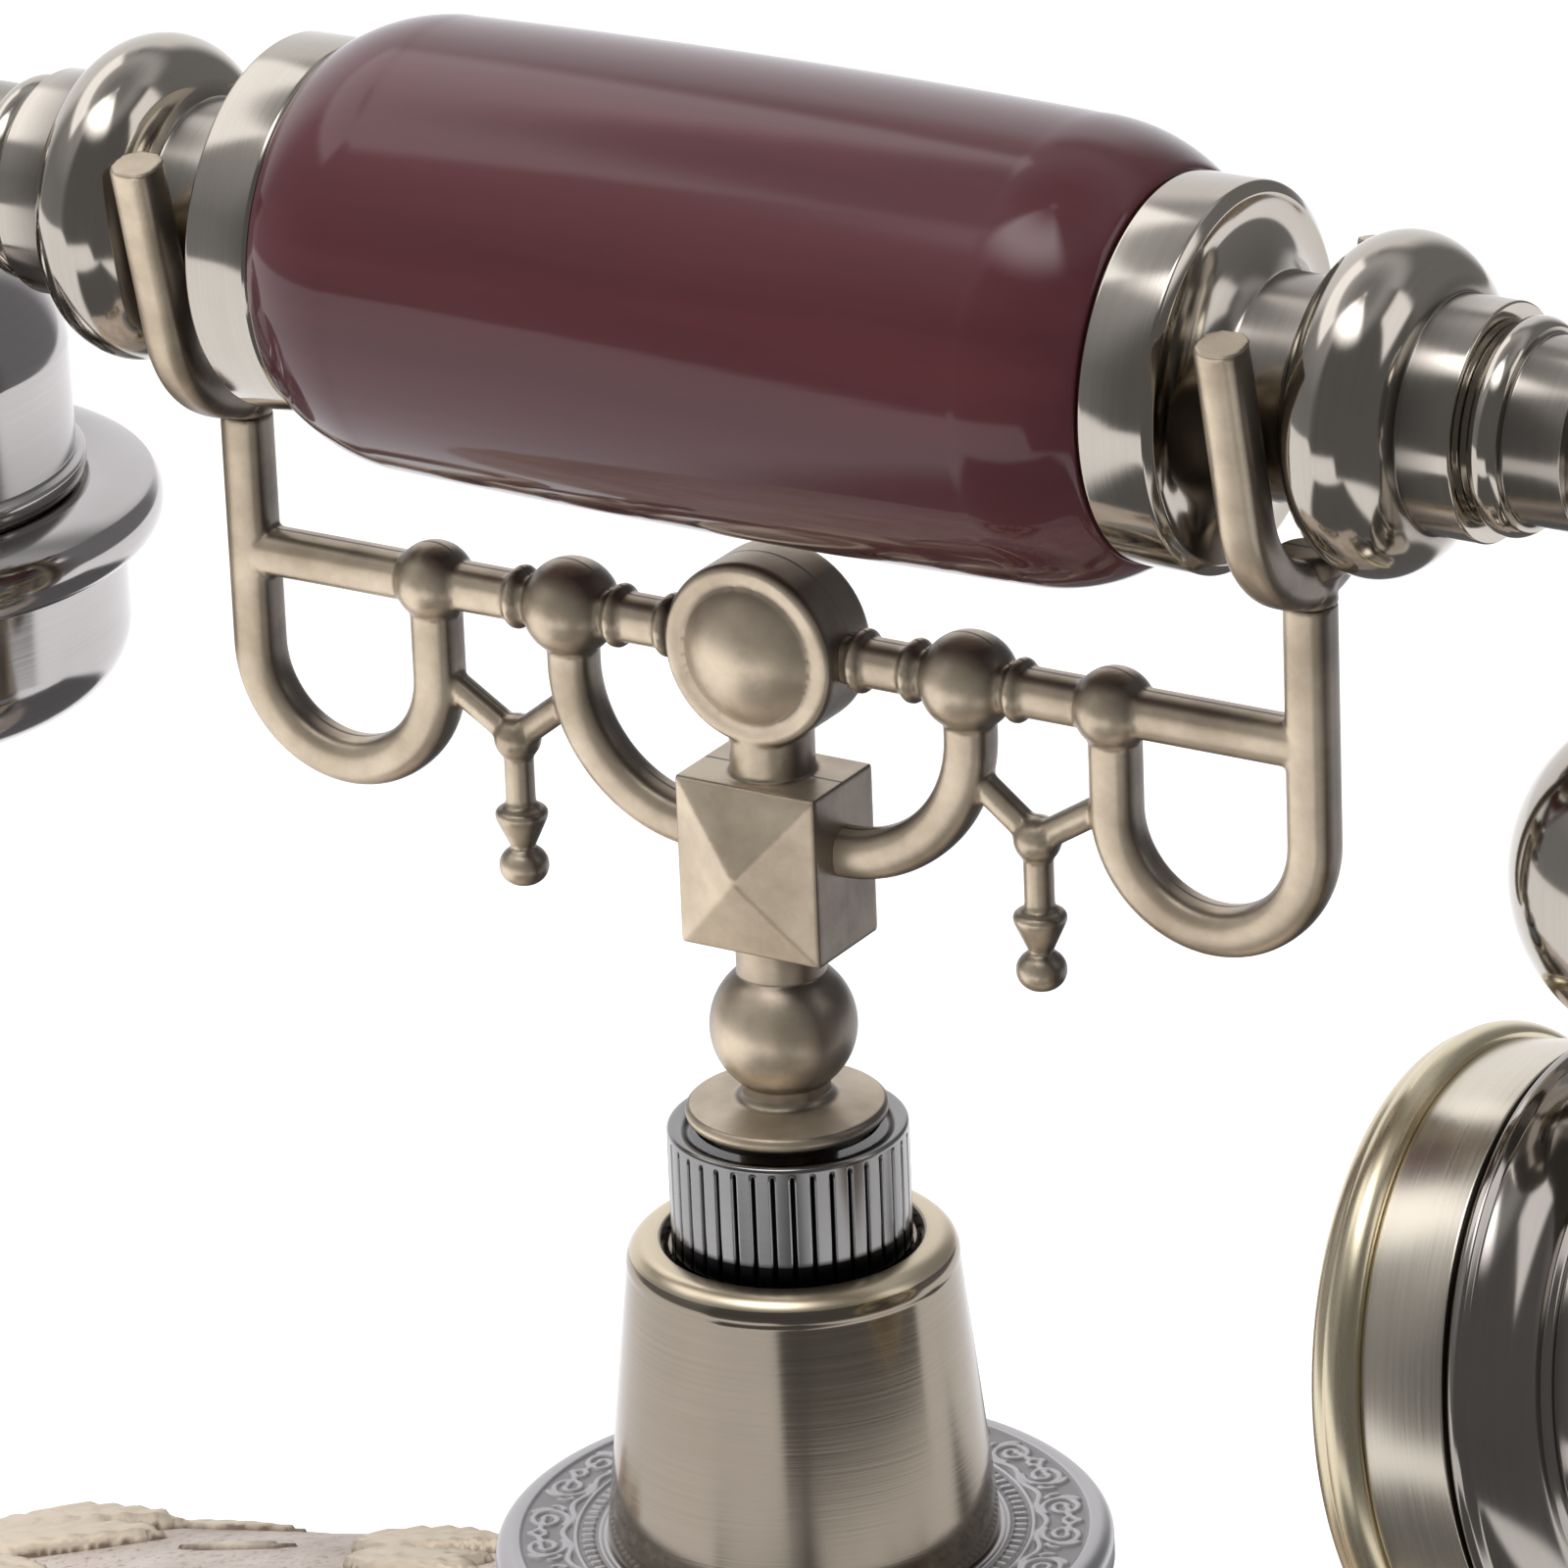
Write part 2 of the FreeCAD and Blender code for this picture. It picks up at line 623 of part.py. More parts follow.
def knurled_collar():
    """Collar with straight ribs, standing on the cone around the spring."""
    root = COLLAR_RADIUS - COLLAR_RIB_DEPTH
    pitch = 2 * math.pi / COLLAR_RIBS
    flank = COLLAR_RIB_FLANK / COLLAR_RADIUS
    half_top = COLLAR_RIB_TOP / COLLAR_RADIUS / 2
    corners = ((-half_top - flank, root), (-half_top, COLLAR_RADIUS), (half_top, COLLAR_RADIUS),
               (half_top + flank, root))
    points = []
    for number in range(COLLAR_RIBS):
        for offset, radius in corners:
            turn = pitch * number + offset
            points.append(V(radius * math.cos(turn), radius * math.sin(turn), CONE_TOP))
    ribs = Part.Face(Part.makePolygon(points + points[:1])).extrude(UP * COLLAR_HEIGHT)
    lip = COLLAR_LIP
    blank = turned([
        (COLLAR_BORE, 0), (COLLAR_RADIUS - lip, 0), (COLLAR_RADIUS, lip),
        (COLLAR_RADIUS, COLLAR_HEIGHT - lip), (COLLAR_RADIUS - lip, COLLAR_HEIGHT),
        (COLLAR_BORE, COLLAR_HEIGHT)], V(0, 0, CONE_TOP))
    return blank.common(ribs)


def plunger_bush():
    """Brass bush in the top of the cone, guiding the cradle's rod."""
    bore = ROD_RADIUS + FIT
    shank = BUSH_RADIUS - FIT
    return turned([
        (bore, -BUSH_LENGTH), (shank, -BUSH_LENGTH), (shank, 0), (BUSH_FLANGE_RADIUS, 0),
        (BUSH_FLANGE_RADIUS, BUSH_FLANGE_THICK), (bore, BUSH_FLANGE_THICK)], V(0, 0, CONE_TOP))


def hook_spring():
    """Compression spring between the bush and the stem's flange, kept as the sleeve that its turns fill."""
    inner = ROD_RADIUS + 2 * CLEAR
    outer = BUSH_FLANGE_RADIUS - CLEAR
    foot = CONE_TOP + BUSH_FLANGE_THICK
    length = FLANGE_Z - foot
    return turned([(inner, 0), (outer, 0), (outer, length), (inner, length)], V(0, 0, foot))


def cradle_stem():
    """Turned stem: plunger rod, flange, neck and ball, up to the block."""
    edge = FLANGE_RADIUS - FLANGE_BULGE
    thick = FLANGE_THICK
    neck = STEM_NECK_RADIUS
    drop = FLANGE_Z - ROD_END_Z
    foot = thick + STEM_FOOT_RISE
    ball_low = STEM_BALL_RISE - STEM_BALL_HALF
    ball_high = STEM_BALL_RISE + STEM_BALL_HALF
    return turned([
        (0, -drop), (ROD_RADIUS, -drop), (ROD_RADIUS, 0), (edge, 0), (edge, thick, FLANGE_BULGE),
        (neck + STEM_FILLET, foot), (neck, foot + STEM_FILLET, -round_bow(STEM_FILLET)), (neck, ball_low),
        (neck, ball_high, STEM_BALL_RADIUS - neck), (neck, STEM_HEIGHT), (0, STEM_HEIGHT)],
        V(0, 0, FLANGE_Z))


def cradle_hub():
    """Pyramid-faced block, neck and medallion disc in the middle of the cradle."""
    half = BLOCK_DEPTH / 2
    block = box(V(0, 0, BLOCK_Z + BLOCK_HEIGHT / 2), V(BLOCK_WIDTH, BLOCK_DEPTH, BLOCK_HEIGHT))
    points = []
    for sign in (-1, 1):
        frames = []
        for width, height, depth in ((BLOCK_WIDTH, BLOCK_HEIGHT, half),
                                     (BLOCK_POINT_FLAT, BLOCK_POINT_FLAT, half + BLOCK_POINT)):
            middle = BLOCK_Z + BLOCK_HEIGHT / 2
            corners = [V(x * width / 2, sign * depth, middle + z * height / 2)
                       for x, z in ((-1, -1), (1, -1), (1, 1), (-1, 1), (-1, -1))]
            frames.append(Part.makePolygon(corners))
        points.append(Part.makeLoft(frames, True, True))
    neck = rod(V(0, 0, BLOCK_TOP), V(0, 0, BAR_Z), HUB_NECK_RADIUS)
    face = DISC_THICK / 2
    rim = DISC_RADIUS
    bow = cap_bow(BOSS_RADIUS, BOSS_BULGE)
    disc = turned([
        (0, -face - BOSS_BULGE), (BOSS_RADIUS, -face, bow), (rim - DISC_EDGE, -face), (rim, DISC_EDGE - face),
        (rim, face - DISC_EDGE), (rim - DISC_EDGE, face), (BOSS_RADIUS, face), (0, face + BOSS_BULGE, bow)],
        V(0, 0, BAR_Z), V(0, -1, 0))
    return block.fuse(points + [neck, disc]).removeSplitter()


def bead(x, radius, half, waist):
    """Round bead turned on the bar."""
    return turned([(0, -half), (waist, -half), (waist, half, radius - waist), (0, half)],
                  V(x, 0, BAR_Z), V(1, 0, 0))


def cradle_arm(sign, hub):
    """One side of the cradle: bar with beads, hanging loop, arch to the block and pendant."""
    bar = rod(V(0, 0, BAR_Z), V(sign * POST_X, 0, BAR_Z), BAR_RADIUS)
    pieces = [bead(sign * BIG_BEAD_X, BIG_BEAD_RADIUS, BIG_BEAD_HALF, BAR_RADIUS),
              bead(sign * SMALL_BEAD_X, SMALL_BEAD_RADIUS, SMALL_BEAD_HALF, BAR_RADIUS)]
    ring_gap = BIG_BEAD_HALF + BAR_RING_WIDTH
    for x in (DISC_RADIUS + BAR_RING_WIDTH, BIG_BEAD_X - ring_gap, BIG_BEAD_X + ring_gap):
        pieces.append(bead(sign * x, BAR_RING_RADIUS, BAR_RING_WIDTH / 2, BAR_RADIUS))

    half_loop = (POST_X - SMALL_BEAD_X) / 2
    leg_z = BAR_Z - LOOP_LEG
    loop_centre = V(sign * (SMALL_BEAD_X + half_loop), 0, leg_z)
    post_foot = V(sign * POST_X, 0, leg_z)
    leg_foot = V(sign * SMALL_BEAD_X, 0, leg_z)
    post_top = V(sign * POST_X, 0, FORK_SEAT_Z)
    turn_axis = V(0, sign, 0)
    pieces += [bent(post_foot, loop_centre, turn_axis, 180, SCROLL_RADIUS),
               rod(post_foot, post_top, SCROLL_RADIUS),
               rod(leg_foot, V(sign * SMALL_BEAD_X, 0, BAR_Z), SCROLL_RADIUS)]

    arch_top = V(sign * BIG_BEAD_X, 0, BAR_Z - ARCH_DROP)
    arch_centre = V(sign * BLOCK_WIDTH / 2, 0, arch_top.z)
    pieces += [bent(arch_top, arch_centre, turn_axis, 90, SCROLL_RADIUS),
               rod(V(sign * BIG_BEAD_X, 0, BAR_Z), arch_top, SCROLL_RADIUS)]

    knot = V(sign * PENDANT_X, 0, BAR_Z - PENDANT_DROP)
    strut_z = BAR_Z - STRUT_TOP_DROP
    pieces += [rod(V(sign * SMALL_BEAD_X, 0, strut_z), knot, STRUT_RADIUS),
               rod(V(sign * BIG_BEAD_X, 0, strut_z), knot, STRUT_RADIUS), pendant(knot)]
    return bar.fuse(pieces).cut(hub).removeSplitter()


def pendant(knot):
    """Small hanging drop: ball, stem, crown and tip."""
    ball = PENDANT_BALL_RADIUS
    stem = PENDANT_STEM_RADIUS
    stem_start = math.sqrt(ball ** 2 - stem ** 2)
    crown = PENDANT_CROWN_RADIUS
    crown_top = PENDANT_STEM_LENGTH
    crown_end = crown_top + PENDANT_CROWN_HEIGHT
    waist = PENDANT_WAIST_RADIUS
    tip = PENDANT_TIP_RADIUS
    tip_rise = math.sqrt(tip ** 2 - waist ** 2)
    return turned([
        (0, -ball), (stem, stem_start, ball_bow((0, -ball), (stem, stem_start), ball)),
        (stem, crown_top - EDGE), (crown, crown_top), (crown, crown_top + EDGE), (waist, crown_end),
        (0, crown_end + tip_rise + tip, ball_bow((waist, -tip_rise), (0, tip), tip))], knot, DOWN)


def prong(foot, direction):
    """Straight prong of a fork, cut flat with a softened edge."""
    radius = SCROLL_RADIUS
    face = radius - FINE_EDGE
    return turned([
        (0, 0), (radius, 0), (radius, PRONG_LENGTH - FINE_EDGE), (face, PRONG_LENGTH, round_bow(FINE_EDGE)),
        (0, PRONG_LENGTH)], foot, direction)


def fork(sign):
    """Bent rod fork on a post: a bow with two prongs that lean outwards and wedge the handset's neck."""
    lean = math.radians(FORK_LEAN)
    reach = NECK_RADIUS + CLEAR + SCROLL_RADIUS
    bottom = FORK_SEAT_Z + FORK_STUB
    bow_z = (bottom + reach - AXIS_Z * math.sin(lean)) / (1 - math.sin(lean))
    bow = bow_z - bottom
    x = sign * POST_X
    front = V(x, -bow * math.cos(lean), bow_z - bow * math.sin(lean))
    rear = V(x, -front.y, front.z)
    bend = bent(front, V(x, 0, bow_z), V(1, 0, 0), 180 - 2 * FORK_LEAN, SCROLL_RADIUS)
    stub = rod(V(x, 0, FORK_SEAT_Z), V(x, 0, bottom), FORK_STUB_RADIUS)
    prongs = [prong(front, V(0, -math.sin(lean), math.cos(lean))),
              prong(rear, V(0, math.sin(lean), math.cos(lean)))]
    return bend.fuse([stub] + prongs).removeSplitter()


def handset_end(sign):
    """Origin and outward direction of one end of the handset."""
    return V(0, 0, AXIS_Z), V(sign, 0, 0)


def grip():
    """Lacquered wood barrel, slightly crowned, with rounded shoulders and a bore for the tie tube."""
    barrel = GRIP_HALF - GRIP_SHOULDER
    edge = GRIP_RADIUS - GRIP_CROWN
    bow = cap_bow(GRIP_SHOULDER, edge - GRIP_END_RADIUS)
    return turned([
        (TIE_RADIUS, -GRIP_HALF), (GRIP_END_RADIUS, -GRIP_HALF), (edge, -barrel, bow),
        (edge, barrel, GRIP_CROWN), (GRIP_END_RADIUS, GRIP_HALF, bow), (TIE_RADIUS, GRIP_HALF)],
        *handset_end(1))


def tie_tube():
    """Steel tube through the grip that ties both ferrules together and carries the wires."""
    end = GRIP_HALF + TIE_DEPTH
    outer = TIE_RADIUS - FIT
    return turned([(TIE_BORE, -end), (outer, -end), (outer, end), (TIE_BORE, end)], *handset_end(1))


def ferrule(sign):
    """Turned end fitting: band, hollow neck for the fork, bulb and sleeve."""
    band_end = GRIP_HALF + BAND_WIDTH
    neck_start = NECK_X - NECK_WIDTH / 2
    scotia = neck_start - SCOTIA_WIDTH
    bulb_bow = BULB_RADIUS - (BULB_FOOT_RADIUS + SLEEVE_RADIUS) / 2
    return turned([
        (TIE_RADIUS, GRIP_HALF), (BAND_RADIUS - FINE_EDGE, GRIP_HALF), (BAND_RADIUS, GRIP_HALF + FINE_EDGE),
        (BAND_RADIUS, band_end), (BAND_RADIUS - SCOTIA_DROP, scotia), (NECK_RADIUS, neck_start, -SCOTIA_BOW),
        (NECK_RADIUS, BULB_X), (BULB_FOOT_RADIUS, BULB_X + EDGE), (SLEEVE_RADIUS, SLEEVE_X, bulb_bow),
        (SLEEVE_RADIUS, SLEEVE_END), (TIE_BORE, SLEEVE_END), (TIE_BORE, GRIP_HALF + TIE_DEPTH),
        (TIE_RADIUS, GRIP_HALF + TIE_DEPTH)], *handset_end(sign))


def arm_tube(sign, end_x):
    """Ring and tube from a ferrule to the ball at the end of the handset."""
    ball = ARM_BALL_RADIUS
    cut = math.sqrt(ball ** 2 - ARM_RADIUS ** 2)
    ring = RING_RADIUS - RING_BULGE
    bow = ball_bow((ARM_RADIUS, -cut), (0, ball), ball)
    return turned([
        (0, SLEEVE_END), (GROOVE_RADIUS, SLEEVE_END), (GROOVE_RADIUS, RING_X), (ring, RING_X),
        (ring, ARM_X, RING_BULGE), (ARM_RADIUS, ARM_X), (ARM_RADIUS, end_x - cut), (0, end_x + ball, bow)],
        *handset_end(sign))


def arm_ear():
    """Tube and ball at the ear end, with the short leg that carries the ear cup."""
    seat = V(EAR_X, 0, AXIS_Z - EAR_TOP_DROP)
    leg = rod(V(EAR_X, 0, AXIS_Z), seat, ARM_RADIUS)
    below = Part.makeCylinder(ARM_BALL_RADIUS, ARM_BALL_RADIUS, seat, DOWN)
    return arm_tube(-1, -EAR_X).fuse(leg).cut(below).removeSplitter()


def arm_mouth():
    """Tube and ball at the mouth end, with the hanging leg and its large ball."""
    low = MOUTH_BALL_DROP - MOUTH_BALL_HALF
    high = MOUTH_BALL_DROP + MOUTH_BALL_HALF
    neck = MOUTH_NECK_RADIUS
    ring = ARM_RADIUS + LEG_RING
    ring_end = low - EDGE
    ring_start = ring_end - LEG_RING_WIDTH
    leg = turned([
        (0, 0), (ARM_RADIUS, 0), (ARM_RADIUS, ring_start - FINE_EDGE), (ring, ring_start), (ring, ring_end),
        (neck, low), (neck, high, MOUTH_BALL_RADIUS - neck), (neck, MOUTH_NECK_DROP), (0, MOUTH_NECK_DROP)],
        V(MOUTH_X, 0, AXIS_Z), DOWN)
    return arm_tube(1, MOUTH_X).fuse(leg).removeSplitter()


def on_ear(outline):
    """Piece turned about the ear cup's axis, with depths measured down from the handset's axis."""
    return turned(outline, V(EAR_X, 0, AXIS_Z), DOWN)


def ear_levels():
    lip = EAR_TOP_DROP + EAR_DRUM_HEIGHT
    rim_end = lip + EAR_RIM_HEIGHT
    return lip, rim_end, rim_end + EAR_CAP_HEIGHT


def ear_cup():
    """Spun drum with a domed top and a rolled lip."""
    lip, rim_end, face = ear_levels()
    inner = EAR_DRUM_RADIUS - CUP_WALL
    drum = EAR_DRUM_RADIUS
    top = EAR_TOP_DROP
    return on_ear([
        (0, top + CUP_WALL), (0, top), (EAR_TOP_FLAT, top), (drum, top + EAR_SHOULDER, EAR_SHOULDER_BOW),
        (drum, lip - EAR_LIP_WIDTH - FINE_EDGE), (drum + EAR_LIP, lip - EAR_LIP_WIDTH), (drum + EAR_LIP, lip),
        (inner, lip),
        (inner, top + EAR_SHOULDER), (EAR_TOP_FLAT, top + CUP_WALL, -EAR_SHOULDER_BOW)])


def ear_rim():
    """Broad rolled ring under the drum."""
    lip, rim_end, face = ear_levels()
    inner = EAR_DRUM_RADIUS - CUP_WALL
    waist = EAR_DRUM_RADIUS
    return on_ear([
        (inner, lip), (waist, lip), (waist + EDGE, lip + EDGE),
        (EAR_RIM_RADIUS - EAR_RIM_EDGE, lip + EAR_RIM_SLOPE, EAR_RIM_SLOPE_BOW),
        (EAR_RIM_RADIUS - EAR_RIM_UNDERCUT, rim_end, EAR_RIM_BOW), (inner, rim_end)])


def ear_cap():
    """Ear cap with a rounded edge, a dished face and sound holes."""
    lip, rim_end, face = ear_levels()
    edge = EAR_CAP_RADIUS
    inner = EAR_DRUM_RADIUS - CUP_WALL
    back = face - EAR_DISH - CUP_WALL
    cap = on_ear([
        (inner, rim_end), (edge - EDGE, rim_end), (edge, rim_end + EDGE), (edge, face - EAR_CAP_ROUND),
        (EAR_FACE_RADIUS + EAR_FACE_LIP, face, EAR_CAP_BOW), (EAR_FACE_RADIUS, face),
        (0, face - EAR_DISH, -cap_bow(EAR_FACE_RADIUS, EAR_DISH)), (0, back), (inner, back)])
    holes = [rod(V(EAR_X, 0, AXIS_Z), V(EAR_X, 0, AXIS_Z - face), SOUND_HOLE_RADIUS)]
    for number in range(SOUND_HOLES):
        turn = 2 * math.pi * number / SOUND_HOLES
        place = V(EAR_X + SOUND_HOLE_RING * math.cos(turn), SOUND_HOLE_RING * math.sin(turn), AXIS_Z)
        holes.append(rod(place, place + DOWN * face, SOUND_HOLE_RADIUS))
    return cap.cut(holes)


def receiver():
    """Receiver capsule seated in the ear cap."""
    lip, rim_end, face = ear_levels()
    radius = EAR_DRUM_RADIUS - CUP_WALL - FIT
    seat = face - EAR_DISH - CUP_WALL
    back = seat - RECEIVER_HEIGHT
    flange = seat - RECEIVER_FLANGE
    magnet = RECEIVER_MAGNET_RADIUS
    return on_ear([(0, back), (magnet, back), (magnet, flange), (radius, flange), (radius, seat), (0, seat)])


def on_mouth(outline):
    """Piece turned about the mouth cup's axis, with depths measured back from the rim."""
    tilt = math.radians(MOUTH_TILT)
    return turned(outline, V(MOUTH_RIM_X, 0, AXIS_Z - MOUTH_DROP), V(math.cos(tilt), 0, math.sin(tilt)))


def mouth_levels():
    groove_end = MOUTH_BAND_WIDTH + MOUTH_GROOVE_WIDTH
    ring_end = groove_end + MOUTH_RING_WIDTH
    shoulder = ring_end + MOUTH_SHOULDER_WIDTH
    return groove_end, ring_end, shoulder, shoulder + MOUTH_DOME_DEPTH


def mouth_cup():
    """Spun cup: band, groove, ring, stepped dome and the boss that hangs on the arm."""
    groove_end, ring_end, shoulder, back = mouth_levels()
    band = MOUTH_BAND_RADIUS
    ring = MOUTH_RING_RADIUS
    inner = band - CUP_WALL
    step = MOUTH_SHOULDER_RADIUS
    hollow = [(0, 0), (inner, 0), (inner, ring_end), (step - CUP_WALL, shoulder, EDGE),
              (MOUTH_BACK_RADIUS, back - CUP_WALL, MOUTH_DOME_BOW), (0, back - CUP_WALL)]
    outside = on_mouth([
        (0, 0), (band, 0), (band, MOUTH_BAND_WIDTH), (MOUTH_GROOVE_RADIUS, MOUTH_BAND_WIDTH),
        (MOUTH_GROOVE_RADIUS, groove_end), (ring - FINE_EDGE, groove_end), (ring, groove_end + FINE_EDGE),
        (ring, ring_end - FINE_EDGE), (ring - MOUTH_RING_SLOPE, ring_end),
        (step + EDGE, shoulder - EDGE, MOUTH_SHOULDER_BOW), (step, shoulder), (step - EDGE, shoulder),
        (MOUTH_BACK_RADIUS, back, MOUTH_DOME_BOW), (0, back)])
    foot = V(MOUTH_X, 0, AXIS_Z - MOUTH_DROP)
    boss = rod(foot, V(MOUTH_X, 0, AXIS_Z - MOUTH_NECK_DROP), MOUTH_BOSS_RADIUS)
    seat = SOCKET_RADIUS + CLEAR
    end = back + SOCKET_LENGTH
    spot_face = on_mouth([(0, back), (seat, back), (seat, end), (0, end)])
    return outside.fuse(boss).cut([on_mouth(hollow), spot_face]).removeSplitter()


def mouth_rim():
    """Rolled ring around the opening, with a lip that holds the grille."""
    edge = MOUTH_RIM_RADIUS
    face = -MOUTH_RIM_DEPTH
    inner = MOUTH_BAND_RADIUS - CUP_WALL
    return on_mouth([
        (MOUTH_RIM_LIP, face + MOUTH_RIM_LIP_SLOPE), (MOUTH_RIM_FACE, face),
        (edge - EDGE, face + MOUTH_RIM_ROLL, MOUTH_RIM_FACE_BOW),
        (edge - MOUTH_RIM_BACK, 0, MOUTH_RIM_BACK_BOW), (inner, 0), (inner, -GRILLE_THICK),
        (MOUTH_RIM_LIP, -GRILLE_THICK)])


def mouth_grille():
    """Perforated disc behind the lip of the rim."""
    radius = MOUTH_BAND_RADIUS - CUP_WALL - FIT
    disc = on_mouth([(0, -GRILLE_THICK), (radius, -GRILLE_THICK), (radius, 0), (0, 0)])
    tilt = math.radians(MOUTH_TILT)
    inward = V(math.cos(tilt), 0, math.sin(tilt))
    across = V(0, 1, 0)
    rise = inward.cross(across)
    centre = V(MOUTH_RIM_X, 0, AXIS_Z - MOUTH_DROP)
    holes = [rod(centre - inward * GRILLE_THICK, centre, SOUND_HOLE_RADIUS)]
    for count, ring in ((SOUND_HOLES, SOUND_HOLE_RING), (2 * SOUND_HOLES, 2 * SOUND_HOLE_RING)):
        for number in range(count):
            turn = 2 * math.pi * number / count
            place = centre + across * (ring * math.cos(turn)) + rise * (ring * math.sin(turn))
            holes.append(rod(place - inward * GRILLE_THICK, place, SOUND_HOLE_RADIUS))
    return disc.cut(holes)


def microphone():
    """Microphone capsule on the back of the grille."""
    return on_mouth([(0, 0), (MICROPHONE_RADIUS, 0), (MICROPHONE_RADIUS, MICROPHONE_EDGE),
                     (MICROPHONE_BACK_RADIUS, MICROPHONE_HEIGHT), (0, MICROPHONE_HEIGHT)])


def handset_socket():
    """Socket for the handset's lead, on the back of the mouth cup."""
    back = mouth_levels()[3]
    edge = SOCKET_RADIUS
    end = back + SOCKET_LENGTH
    floor = back + SOCKET_FLOOR
    return on_mouth([
        (0, back), (edge, back), (edge, end - SOCKET_ROUND),
        (edge - SOCKET_ROUND, end, round_bow(SOCKET_ROUND)), (SOCKET_BORE, end),
        (SOCKET_BORE, floor), (0, floor)])


def dial_bezel():
    """Rolled ring around the dial."""
    inner = DIAL_RECESS_RADIUS - BEZEL_LIP
    edge = DIAL_RADIUS
    return on_dial([(inner, 0), (edge, 0), (edge, BEZEL_EDGE), (inner + EDGE, BEZEL_HEIGHT, BEZEL_BOW),
                    (inner, BEZEL_HEIGHT - EDGE)])


def key_plate():
    """Face plate of the dial with a hole for each key."""
    facing = dial_axis()[1]
    radius = DIAL_RECESS_RADIUS - FIT
    low = -KEY_PLATE_LOW
    plate = on_dial([(0, low), (radius, low), (radius, -KEY_PLATE_SINK), (0, -KEY_PLATE_SINK)])
    holes = []
    for place in key_places():
        holes.append(rod(place + facing * low, place - facing * KEY_PLATE_SINK, KEY_RADIUS + CLEAR))
    return plate.cut(holes)


def dial_medallion():
    """Plain domed disc in the middle of the dial."""
    low = -KEY_PLATE_SINK
    edge = MEDALLION_RADIUS
    crown = low + MEDALLION_EDGE + MEDALLION_BOW
    bow = cap_bow(edge, MEDALLION_BOW)
    return on_dial([(0, low), (edge, low), (edge, low + MEDALLION_EDGE), (0, crown, bow)])


def key(place):
    """Round key: cap through the plate and a flange that stops it from below."""
    facing = dial_axis()[1]
    top = KEY_PROUD - KEY_PLATE_SINK
    flange_low = -KEY_FLANGE_LOW
    flange_top = flange_low + KEY_FLANGE_THICK
    flange = KEY_RADIUS + CLEAR + KEY_FLANGE
    face = KEY_RADIUS - KEY_ROUND
    return turned([
        (0, flange_low), (flange, flange_low), (flange, flange_top), (KEY_RADIUS, flange_top),
        (KEY_RADIUS, top - KEY_ROUND), (face, top, round_bow(KEY_ROUND)),
        (0, top - KEY_DISH, -cap_bow(face, KEY_DISH))], place, facing)


def keypad_board():
    """Contact board on the floor of the recess."""
    radius = DIAL_RECESS_RADIUS - DIAL_STEP - FIT
    low = -DIAL_RECESS_DEPTH
    top = low + KEYPAD_BOARD_THICK
    return on_dial([(0, low), (radius, low), (radius, top), (0, top)])


def key_mat():
    """Rubber mat between the keys and the contact board, filling the room that the keys' travel leaves."""
    radius = DIAL_RECESS_RADIUS - DIAL_STEP - FIT
    low = KEYPAD_BOARD_THICK - DIAL_RECESS_DEPTH
    return on_dial([(0, low), (radius, low), (radius, -KEY_MAT_TOP), (0, -KEY_MAT_TOP)])


def hook_pivot():
    """Centre of the hook lever's eye."""
    lever_top = ROD_END_Z - HOOK_GAP
    return V(HOOK_ARM, 0, lever_top - HOOK_LEVER_THICK / 2)


def hook_face():
    return HOOK_LEVER_WIDTH / 2 + HOOK_SIDE_GAP


def hook_bracket():
    """Bent sheet bracket under the deck, with the pin that carries the lever."""
    pivot = hook_pivot()
    face = hook_face()
    low = pivot.z - HOOK_EYE_RADIUS - CLEAR - SWITCH_HEIGHT
    right = HOOK_ARM + HOOK_EYE_RADIUS + BRACKET_MARGIN
    left = right - BRACKET_WIDTH
    web = Part.makeBox(BRACKET_WIDTH, BRACKET_THICK, CAVITY_TOP - low, V(left, face, low))
    foot = Part.makeBox(BRACKET_FOOT_WIDTH, BRACKET_FOOT, BRACKET_THICK,
                        V(left, face, CAVITY_TOP - BRACKET_THICK))
    pin = rod(V(pivot.x, face, pivot.z), V(pivot.x, -face, pivot.z), HOOK_PIN_RADIUS)
    return web.fuse([foot, pin]).removeSplitter()


def hook_switch():
    """Switch block on the bracket, under the lever."""
    pivot = hook_pivot()
    face = hook_face()
    top = pivot.z - HOOK_EYE_RADIUS - CLEAR
    return Part.makeBox(SWITCH_LENGTH, SWITCH_DEPTH, SWITCH_HEIGHT,
                        V(pivot.x - SWITCH_LENGTH, face - SWITCH_DEPTH, top - SWITCH_HEIGHT))


def hook_lever():
    """Lever under the plunger rod, turning on the bracket's pin."""
    pivot = hook_pivot()
    half = HOOK_LEVER_WIDTH / 2
    length = HOOK_ARM + HOOK_LEVER_TAIL
    blade = Part.makeBox(length, HOOK_LEVER_WIDTH, HOOK_LEVER_THICK,
                         V(-HOOK_LEVER_TAIL, -half, pivot.z - HOOK_LEVER_THICK / 2))
    eye = rod(V(pivot.x, -half, pivot.z), V(pivot.x, half, pivot.z), HOOK_EYE_RADIUS)
    bore = rod(V(pivot.x, -half, pivot.z), V(pivot.x, half, pivot.z), HOOK_PIN_RADIUS + FIT)
    return blade.fuse(eye).cut(bore).removeSplitter()


def gong_posts():
    posts = []
    for sign in (-1, 1):
        foot = V(sign * GONG_X, GONG_Y, REBATE_Z)
        posts.append(rod(foot, foot + UP * POST_HEIGHT, POST_RADIUS))
    return Part.makeCompound(posts)


